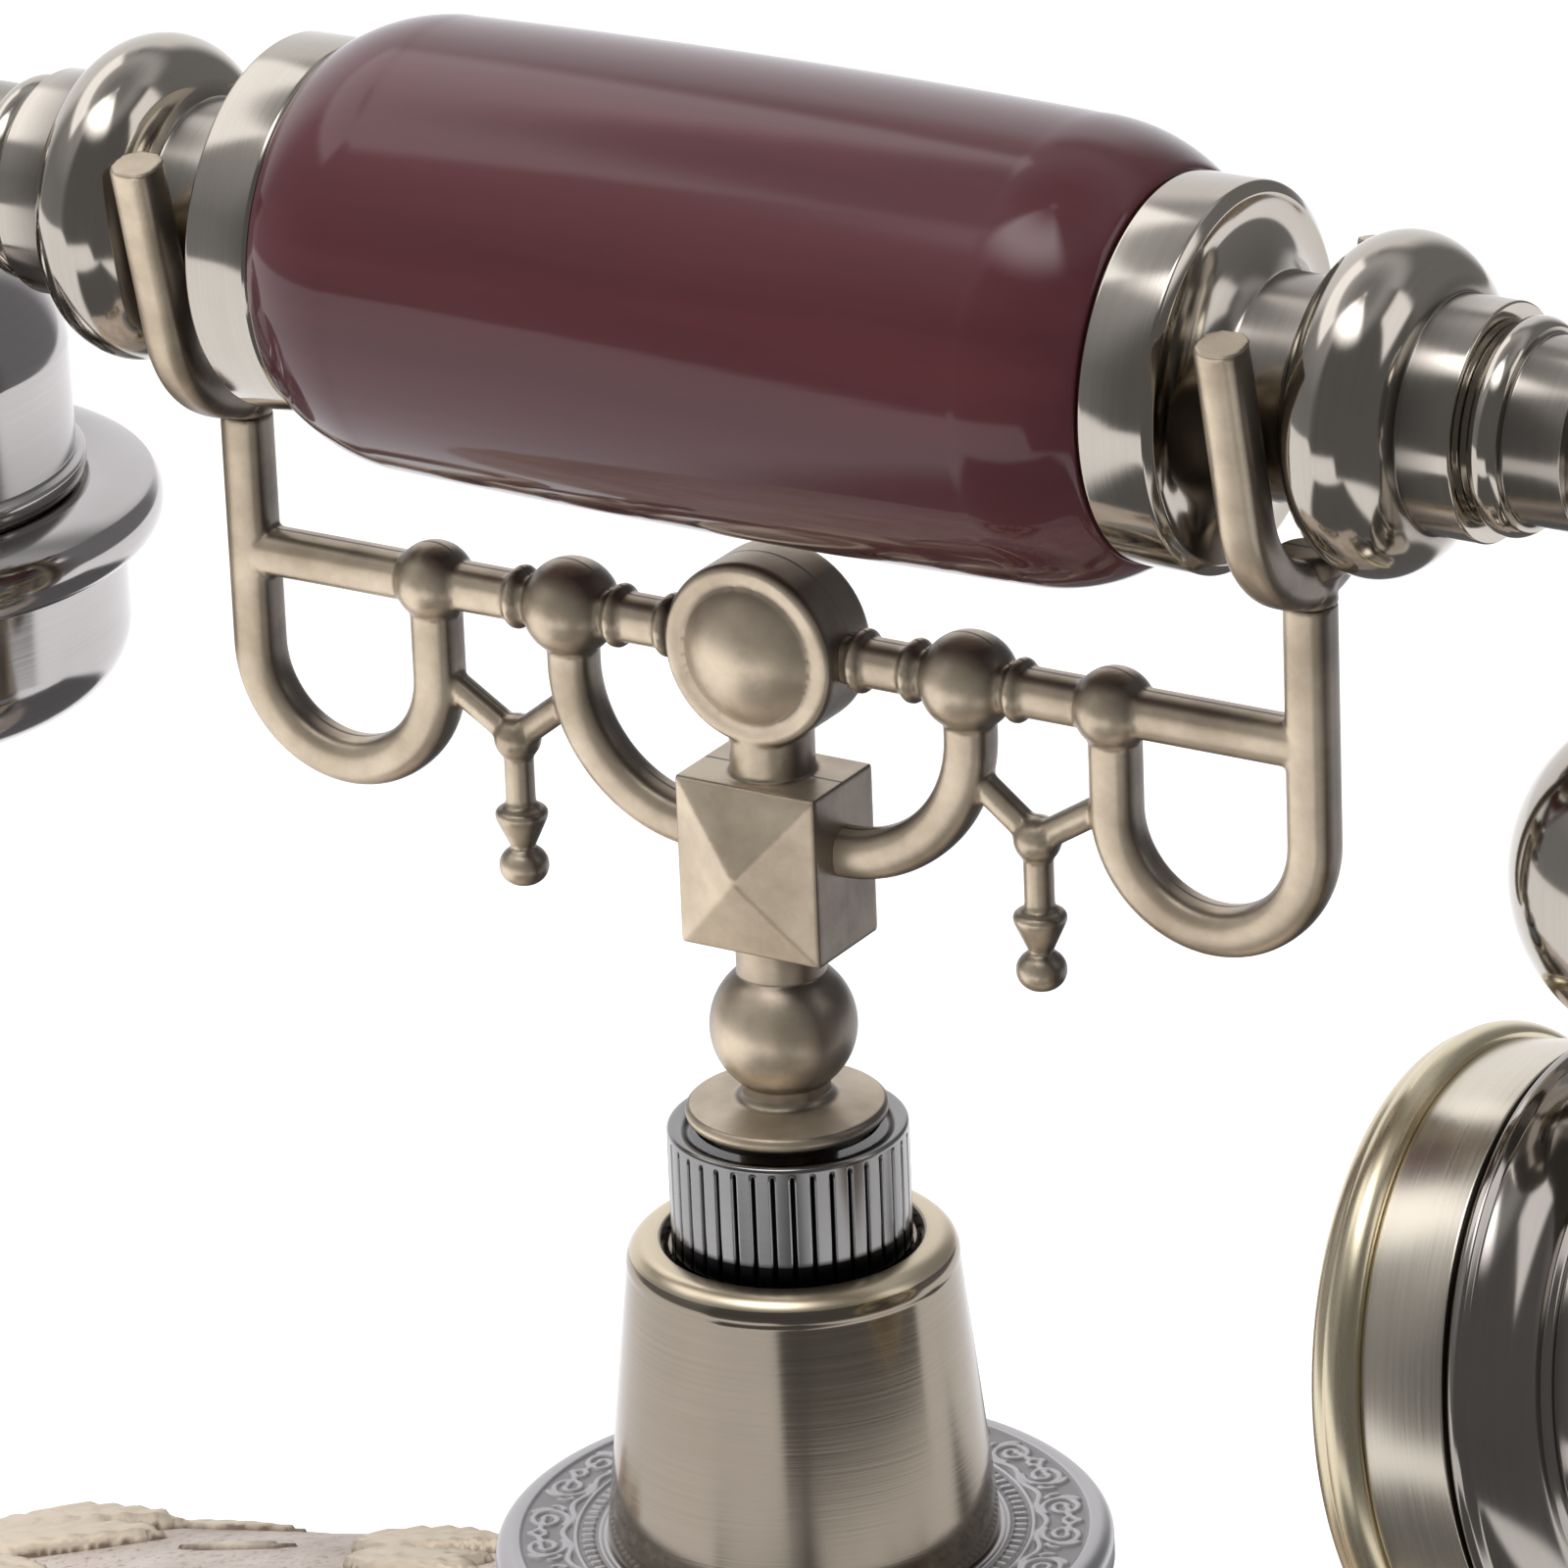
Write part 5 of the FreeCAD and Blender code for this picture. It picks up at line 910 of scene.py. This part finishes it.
def bar_tube(path, side, radius, power=2.7, segments=36):
    """Closed rod along a plane path in mm: at each point a superellipse square to it, with flat ends."""
    path = np.asarray(path, float)
    side = np.asarray(side, float)
    along = np.gradient(path, axis=0)
    along /= np.linalg.norm(along, axis=1, keepdims=True)
    across = np.cross(along, side)
    turn = np.linspace(0.0, 2 * math.pi, segments, endpoint=False)
    wide = np.sign(np.cos(turn)) * np.abs(np.cos(turn)) ** (2 / power)
    deep = -np.sign(np.sin(turn)) * np.abs(np.sin(turn)) ** (2 / power)
    rings = path[:, None] + radius * (wide[:, None] * across[:, None] + deep[:, None] * side)
    ring = np.arange(segments)
    after = (ring + 1) % segments
    count = len(path) * segments
    faces = [grid_faces(len(path), segments, False, True),
             np.stack((np.full(segments, count), after, ring), -1),
             np.stack((np.full(segments, count + 1), count - segments + ring, count - segments + after), -1)]
    return np.concatenate((rings.reshape(-1, 3), path[[0, -1]])) * MM, faces


def arc_points(centre, radius, start, end, count):
    """Points of an arc in the plane of the cradle, angles in degrees from +X towards +Z."""
    turn = np.radians(np.linspace(start, end, count))
    return np.stack((centre[0] + radius * np.cos(turn), np.zeros(count),
                     centre[1] + radius * np.sin(turn)), -1)


brass = cast_brass("cradle_brass")
STEM_OUTLINE = ((0.0, -STEM_DROP), (3.6, -STEM_DROP), (4.0, 0.4 - STEM_DROP), (4.0, 1.2), (8.7, 1.2),
                (8.7, 2.6, 0.4), (5.2, 3.0), (4.0, 3.8, -0.25), (4.0, 4.8), (4.0, 15.2, 2.6),
                (4.0, STEM_TOP), (0.0, STEM_TOP))
stem = lathe("stem_turned", STEM_OUTLINE, (0, 0, STEM_Z), UPRIGHT, hollow=1.7)
stand_for(stem, "cradle_stem", cast_brass("stem_brass", seam_share=0.0))

BLOCK_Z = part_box("cradle_hub")[0][2] / MM
BLOCK_HALF = (7.15, 5.0, 7.95)
BLOCK_POINT = 2.6
BLOCK_TIP = 0.2
NECK_OUTLINE = ((0.0, 0.0), (3.8, 0.0), (3.8, 12.5), (0.0, 12.5))
NECK_DROP = 13.0
DISC_OUTLINE = ((0.0, -6.3), (6.2, -3.9, 0.6), (6.35, -3.75), (8.0, -3.9), (DISC_RADIUS, -3.4),
                (DISC_RADIUS, 3.4), (8.0, 3.9), (6.35, 3.75), (6.2, 3.9), (0.0, 6.3, 0.6))
half_x, half_y, half_z = BLOCK_HALF
frames_y = np.array((-half_y - BLOCK_POINT, -half_y, half_y, half_y + BLOCK_POINT))
frames_half = np.array(((BLOCK_TIP, BLOCK_TIP), (half_x, half_z), (half_x, half_z), (BLOCK_TIP, BLOCK_TIP)))
corner = np.array(((-1, -1), (-1, 1), (1, 1), (1, -1)))
block_points = np.stack((frames_half[:, :1] * corner[:, 0], np.repeat(frames_y[:, None], 4, axis=1),
                         BLOCK_Z + half_z + frames_half[:, 1:] * corner[:, 1]), -1).reshape(-1, 3) * MM
block_faces = [grid_faces(4, 4, False, True), np.array(((3, 2, 1, 0), (12, 13, 14, 15)))]
hub_neck = lathe_mesh(NECK_OUTLINE, (0, 0, BAR_Z - NECK_DROP), UPRIGHT, segments=64)
hub_disc = lathe_mesh(DISC_OUTLINE, (0, 0, BAR_Z), (0, -1, 0), segments=120)
hub = cast("hub_cast", [(block_points, block_faces), hub_neck, hub_disc], 0.22, 6)
stand_for(hub, "cradle_hub", brass)

SIDES = (("ear", -1), ("mouth", 1))
FLAT = (0, 1, 0)
POST_X = 54.0
INNER_X = 34.7
ARCH_X = 20.3
FORK_Z = BAR_Z + 12.9
BAR_START = 7.0
BAR_RADIUS = 2.15
SCROLL_RADIUS = 2.2
BEADS = ((9.8, 2.95, 0.65), (15.1, 2.95, 0.65), (ARCH_X, 4.5, 3.9), (25.5, 2.95, 0.65), (INNER_X, 3.7, 3.0))
BEAD_EDGE = 2.1
LOOP_MIDDLE = (44.35, BAR_Z - 9.1)
LOOP_RADIUS = 9.65
ARCH_MIDDLE = (7.15, BAR_Z - 5.2)
ARCH_RADIUS = 13.15
ARCH_END = (6.0, 0, BAR_Z - 18.35)
STAY_Z = BAR_Z - 8.6
STAY_RADIUS = 1.3
KNOT = (26.7, BAR_Z - 13.6)
PENDANT_OUTLINE = ((0.0, -2.2), (1.35, 1.74, 1.45), (1.35, 6.4), (2.4, 7.0), (2.4, 7.6), (1.05, 10.6),
                   (0.0, 14.08, 1.75))
loop = arc_points(LOOP_MIDDLE, LOOP_RADIUS, 0.0, -180.0, 60)
loop_path = np.concatenate((np.linspace((POST_X, 0, FORK_Z), (POST_X, 0, LOOP_MIDDLE[1]), 30)[:-1], loop,
                            np.linspace((INNER_X, 0, LOOP_MIDDLE[1]), (INNER_X, 0, BAR_Z), 14)[1:]))
arch_path = np.concatenate((np.linspace((ARCH_X, 0, BAR_Z), (ARCH_X, 0, ARCH_MIDDLE[1]), 8)[:-1],
                            arc_points(ARCH_MIDDLE, ARCH_RADIUS, 0.0, -90.0, 36), (ARCH_END,)))
for name, sign in SIDES:
    bar = np.linspace((sign * BAR_START, 0, BAR_Z), (sign * POST_X, 0, BAR_Z), 60)
    shells = [bar_tube(bar, FLAT, BAR_RADIUS)]
    for x, radius, half in BEADS:
        bead = ((0.0, -half), (BEAD_EDGE, -half), (BEAD_EDGE, half, radius - BEAD_EDGE), (0.0, half))
        shells.append(lathe_mesh(bead, (sign * x, 0, BAR_Z), (1, 0, 0), segments=72))
    for path in (loop_path, arch_path):
        shells.append(bar_tube(path * (sign, 1, 1), FLAT, SCROLL_RADIUS))
    knot = (sign * KNOT[0], 0, KNOT[1])
    for x in (INNER_X, ARCH_X):
        stay = np.linspace((sign * x, 0, STAY_Z), knot, 12)
        shells.append(bar_tube(stay, FLAT, STAY_RADIUS, power=2.2))
    shells.append(lathe_mesh(PENDANT_OUTLINE, knot, (0, 0, -1), segments=56))
    arm = cast("cradle_side_%s" % name, shells, 0.26, 4)
    stand_for(arm, "cradle_arm_%s" % name, brass)

FORK_LEAN = 12.0
FORK_BOW = 10.99
FORK_FOOT = 2.3
PRONG_LENGTH = 17.2
FLARE_OUTLINE = ((0.0, 0.0), (2.4, 0.0), (2.4, 0.6), (2.2, 1.2), (3.2, 3.0, -0.2), (3.3, 4.0),
                 (2.4, 5.0, 0.2), (0.0, 5.0))
lean = math.radians(FORK_LEAN)
swing = np.radians(np.linspace(FORK_LEAN, 180.0 - FORK_LEAN, 60))
bend = np.stack((np.zeros(60), -FORK_BOW * np.cos(swing),
                 FORK_Z + FORK_FOOT + FORK_BOW - FORK_BOW * np.sin(swing)), -1)
reach = PRONG_LENGTH * np.array((0.0, -math.sin(lean), math.cos(lean)))
front = np.linspace(bend[0] + reach, bend[0], 26)[:-1]
rear = np.linspace(bend[-1], bend[-1] + reach * (1, -1, 1), 26)[1:]
fork_path = np.concatenate((front, bend, rear))
for name, sign in SIDES:
    rod = bar_tube(fork_path + (sign * POST_X, 0, 0), (1, 0, 0), SCROLL_RADIUS)
    flare = lathe_mesh(FLARE_OUTLINE, (sign * POST_X, 0, FORK_Z), UPRIGHT, segments=64)
    prongs = cast("fork_bent_%s" % name, [rod, flare], 0.22, 3)
    stand_for(prongs, "fork_%s" % name, brass)


# Grip: a turned wooden barrel with rounded shoulders between the two ferrules.
# It is lacquered a deep oxblood brown and polished until it mirrors the studio.
AXIS_Z = (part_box("grip")[0][2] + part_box("grip")[1][2]) / 2 / MM
LACQUER_RED = (0.092, 0.022, 0.027)
LACQUER_BLACK = (0.066, 0.0165, 0.0205)
HAND_AXIS = (0, 0, AXIS_Z)
GRIP_BOW = 0.83
GRIP_OUTLINE = ((8.0, -41.2), (16.9, -41.2), (17.2, -40.9), (20.25, -31.2, GRIP_BOW), (20.25, 31.2, 0.45),
                (17.2, 40.9, GRIP_BOW), (16.9, 41.2), (8.0, 41.2))
barrel = lathe("grip_barrel", GRIP_OUTLINE, HAND_AXIS, (1, 0, 0), segments=240)
lacquer, tree, output, place = piece_finish("oxblood_lacquer")
stretched = shader_node(tree, "Mapping", Vector=place, Scale=(14.0, 150.0, 150.0))
grain = noise(tree, stretched, 1.0, 6.0)
share = spread(tree, grain, (0.35, 0.7))
wood = mixed(tree, share, LACQUER_BLACK, LACQUER_RED)
waves = noise(tree, place, 120.0, 1.0)
relief = bumped(tree, waves, 0.02, 0.001)
surface(tree, output, Base_Color=wood, Roughness=0.4, Specular_IOR_Level=0.1, Coat_Weight=1.0,
        Coat_IOR=1.42, Coat_Roughness=0.06, Coat_Normal=relief)
stand_for(barrel, "grip", lacquer)


# Ferrules: turned end fittings that clamp the grip, each a band, a hollow neck for the fork, a bulb and
# a sleeve. Polished antique bronze with dark patina left in the hollows.
BRONZE_LIGHT = (0.56, 0.52, 0.455)
BRONZE_DARK = (0.42, 0.385, 0.33)
bronze_x = turned_bronze("bronze_along", BRONZE_LIGHT, BRONZE_DARK, 0.085, (1, 0, 0), brush=0.7)
FERRULE_OUTLINE = ((8.0, 41.2), (16.4, 41.2), (16.8, 41.6), (16.8, 47.7), (15.8, 48.3), (9.7, 51.3, -1.2),
                   (9.7, 56.7), (10.6, 57.3), (10.2, 67.7, 4.3), (10.2, 72.7), (6.0, 72.7), (6.0, 45.2),
                   (8.0, 45.2))
for name, sign in SIDES:
    fitting = lathe("ferrule_turned_%s" % name, FERRULE_OUTLINE, HAND_AXIS, (sign, 0, 0), segments=200,
                    hollow=2.2)
    stand_for(fitting, "ferrule_%s" % name, bronze_x)


# Handset arms: a groove, a ring and a plain tube that ends in a ball, with a leg turned down to each cup.
# The leg at the mouth carries a ring and a large ball; bronze as the ferrules.
def joined(name, parts):
    """One piece from several turned shells that meet inside each other, with their groove shares."""
    piece = add_mesh(name, *merged(parts))
    set_share(piece, "groove", np.concatenate([groove for points, faces, groove in parts]))
    return piece


EAR_X = 99.0
MOUTH_X = 89.3
TUBE_RADIUS = 8.0
BALL_RADIUS = 11.0
DOWN = (0, 0, -1)
EAR_AXIS = (-EAR_X, 0, AXIS_Z)
EAR_LEG = ((0.0, 0.0), (TUBE_RADIUS, 0.0), (TUBE_RADIUS, 9.8), (0.0, 9.8))
MOUTH_LEG = ((0.0, 0.0), (TUBE_RADIUS, 0.0), (TUBE_RADIUS, 20.9), (9.4, 21.3), (9.4, 23.7), (7.5, 24.3),
             (7.5, 50.3, 7.5), (7.5, 54.5), (0.0, 54.5))


def arm_outline(end):
    """Outline of a tube from the ferrule to the ball round the corner of the arm."""
    cut = math.sqrt(BALL_RADIUS ** 2 - TUBE_RADIUS ** 2)
    chord = math.hypot(TUBE_RADIUS, cut + BALL_RADIUS)
    bow = BALL_RADIUS - math.sqrt(BALL_RADIUS ** 2 - chord ** 2 / 4)
    return ((0.0, 72.7), (8.4, 72.7), (8.4, 73.5), (8.7, 73.5), (8.7, 76.3, 0.6), (TUBE_RADIUS, 76.4),
            (TUBE_RADIUS, end - cut), (0.0, end + BALL_RADIUS, bow))


ear_leg = lathe_mesh(EAR_LEG, EAR_AXIS, DOWN)
arm_ear = joined("arm_turned_ear", [lathe_mesh(arm_outline(EAR_X), HAND_AXIS, (-1, 0, 0)), ear_leg])
stand_for(arm_ear, "arm_ear", bronze_x)
mouth_leg = lathe_mesh(MOUTH_LEG, (MOUTH_X, 0, AXIS_Z), DOWN)
arm_mouth = joined("arm_turned_mouth", [lathe_mesh(arm_outline(MOUTH_X), HAND_AXIS, (1, 0, 0)), mouth_leg])
stand_for(arm_mouth, "arm_mouth", bronze_x)


# Ear piece: a spun drum with a domed top, a broad rolled ring under it and the cap with the sound holes.
# Polished bronze; the drum mirrors the white tent, and patina lies under its lip.
DRUM_OUTLINE = ((0.0, 9.5), (9.5, 9.5), (20.9, 20.0, 2.6), (20.9, 30.4), (21.8, 30.8), (21.8, 32.0),
                (18.5, 32.0), (18.5, 20.0), (9.5, 11.9, -2.6), (0.0, 11.9))
FLANGE_OUTLINE = ((18.5, 32.0), (20.9, 32.0), (21.5, 32.6), (27.9, 33.6, 0.5), (26.3, 39.0, 1.5),
                  (18.5, 39.0))
bronze_z = turned_bronze("bronze_upright", (0.53, 0.505, 0.49), (0.41, 0.39, 0.375), 0.09, UPRIGHT, brush=0.7)
drum = lathe("ear_drum", DRUM_OUTLINE, EAR_AXIS, DOWN, segments=220)
stand_for(drum, "ear_cup", bronze_z)
flange = lathe("ear_flange", FLANGE_OUTLINE, EAR_AXIS, DOWN, segments=240)
stand_for(flange, "ear_rim", bronze_z)
dress("ear_cap", bronze_z)


# Mouth piece: a turned cup on the end of the leg with a rolled rim, a band, a groove, a ring and a dome.
# Bronze, brushed on the band and polished on the dome; the cup is painted darker as painted shade and the
# band lighter as a painted reflection; a pierced grille closes its mouth.
MOUTH_TILT = math.radians(9.0)
MOUTH_WAY = (math.cos(MOUTH_TILT), 0.0, math.sin(MOUTH_TILT))
MOUTH_DROP = 85.3
MOUTH_FACE = (73.0, 0, AXIS_Z - MOUTH_DROP)
CUP_OUTLINE = ((0.0, 21.8), (7.0, 21.8), (18.8, 14.7, -3.2), (25.1, 10.1, -0.6), (25.1, 0.0), (27.5, 0.0),
               (27.5, 7.8), (26.6, 7.8), (26.6, 8.5), (27.8, 8.5), (28.2, 8.9), (28.2, 9.7), (27.4, 10.1),
               (21.8, 14.1, 1.0), (21.2, 14.7), (20.6, 14.7), (7.0, 24.2, 3.2), (0.0, 24.2))
BOSS_OUTLINE = ((0.0, 0.0), (8.5, 0.0), (8.5, 30.8), (0.0, 30.8))
BAND_TOP = 7.7
BAND_BELOW = 50.0
ROLL_OUTLINE = ((20.0, -4.0), (25.6, -5.0), (28.4, -3.0, 0.8), (28.0, 0.0, 0.7), (25.1, 0.0), (25.1, -1.5),
                (20.0, -1.5))
# Painted shade: the cup and its dome get a darker bronze than the other bronze pieces.
cup_bronze_painted_shade = turned_bronze("bronze_cup", (0.43, 0.40, 0.36), (0.31, 0.285, 0.255), 0.09, MOUTH_WAY, brush=0.8)
cup = lathe_mesh(CUP_OUTLINE, MOUTH_FACE, MOUTH_WAY, segments=240)
boss = lathe_mesh(BOSS_OUTLINE, (MOUTH_X, 0, AXIS_Z - MOUTH_DROP), UPRIGHT)
mouth_cup = joined("mouth_bowl", [cup, boss])
stand_for(mouth_cup, "mouth_cup", cup_bronze_painted_shade)
# Painted reflection: the band gets a much lighter bronze than the cup.
band = turned_bronze("band_bronze", (0.72, 0.66, 0.55), (0.57, 0.515, 0.42), 0.2, MOUTH_WAY, brush=1.6)
second_finish(mouth_cup, band, lambda at: ((at - MOUTH_FACE) @ MOUTH_WAY < BAND_TOP)
              & (at[:, 2] < AXIS_Z - BAND_BELOW))
mouth_rim = lathe("mouth_roll", ROLL_OUTLINE, MOUTH_FACE, MOUTH_WAY, segments=240)
rim_bronze = turned_bronze("rim_bronze", (0.80, 0.71, 0.51), (0.64, 0.56, 0.38), 0.24, MOUTH_WAY)
stand_for(mouth_rim, "mouth_rim", rim_bronze)
dress("mouth_grille", turned_bronze("grille_bronze", BRONZE_LIGHT, BRONZE_DARK, 0.22, MOUTH_WAY))
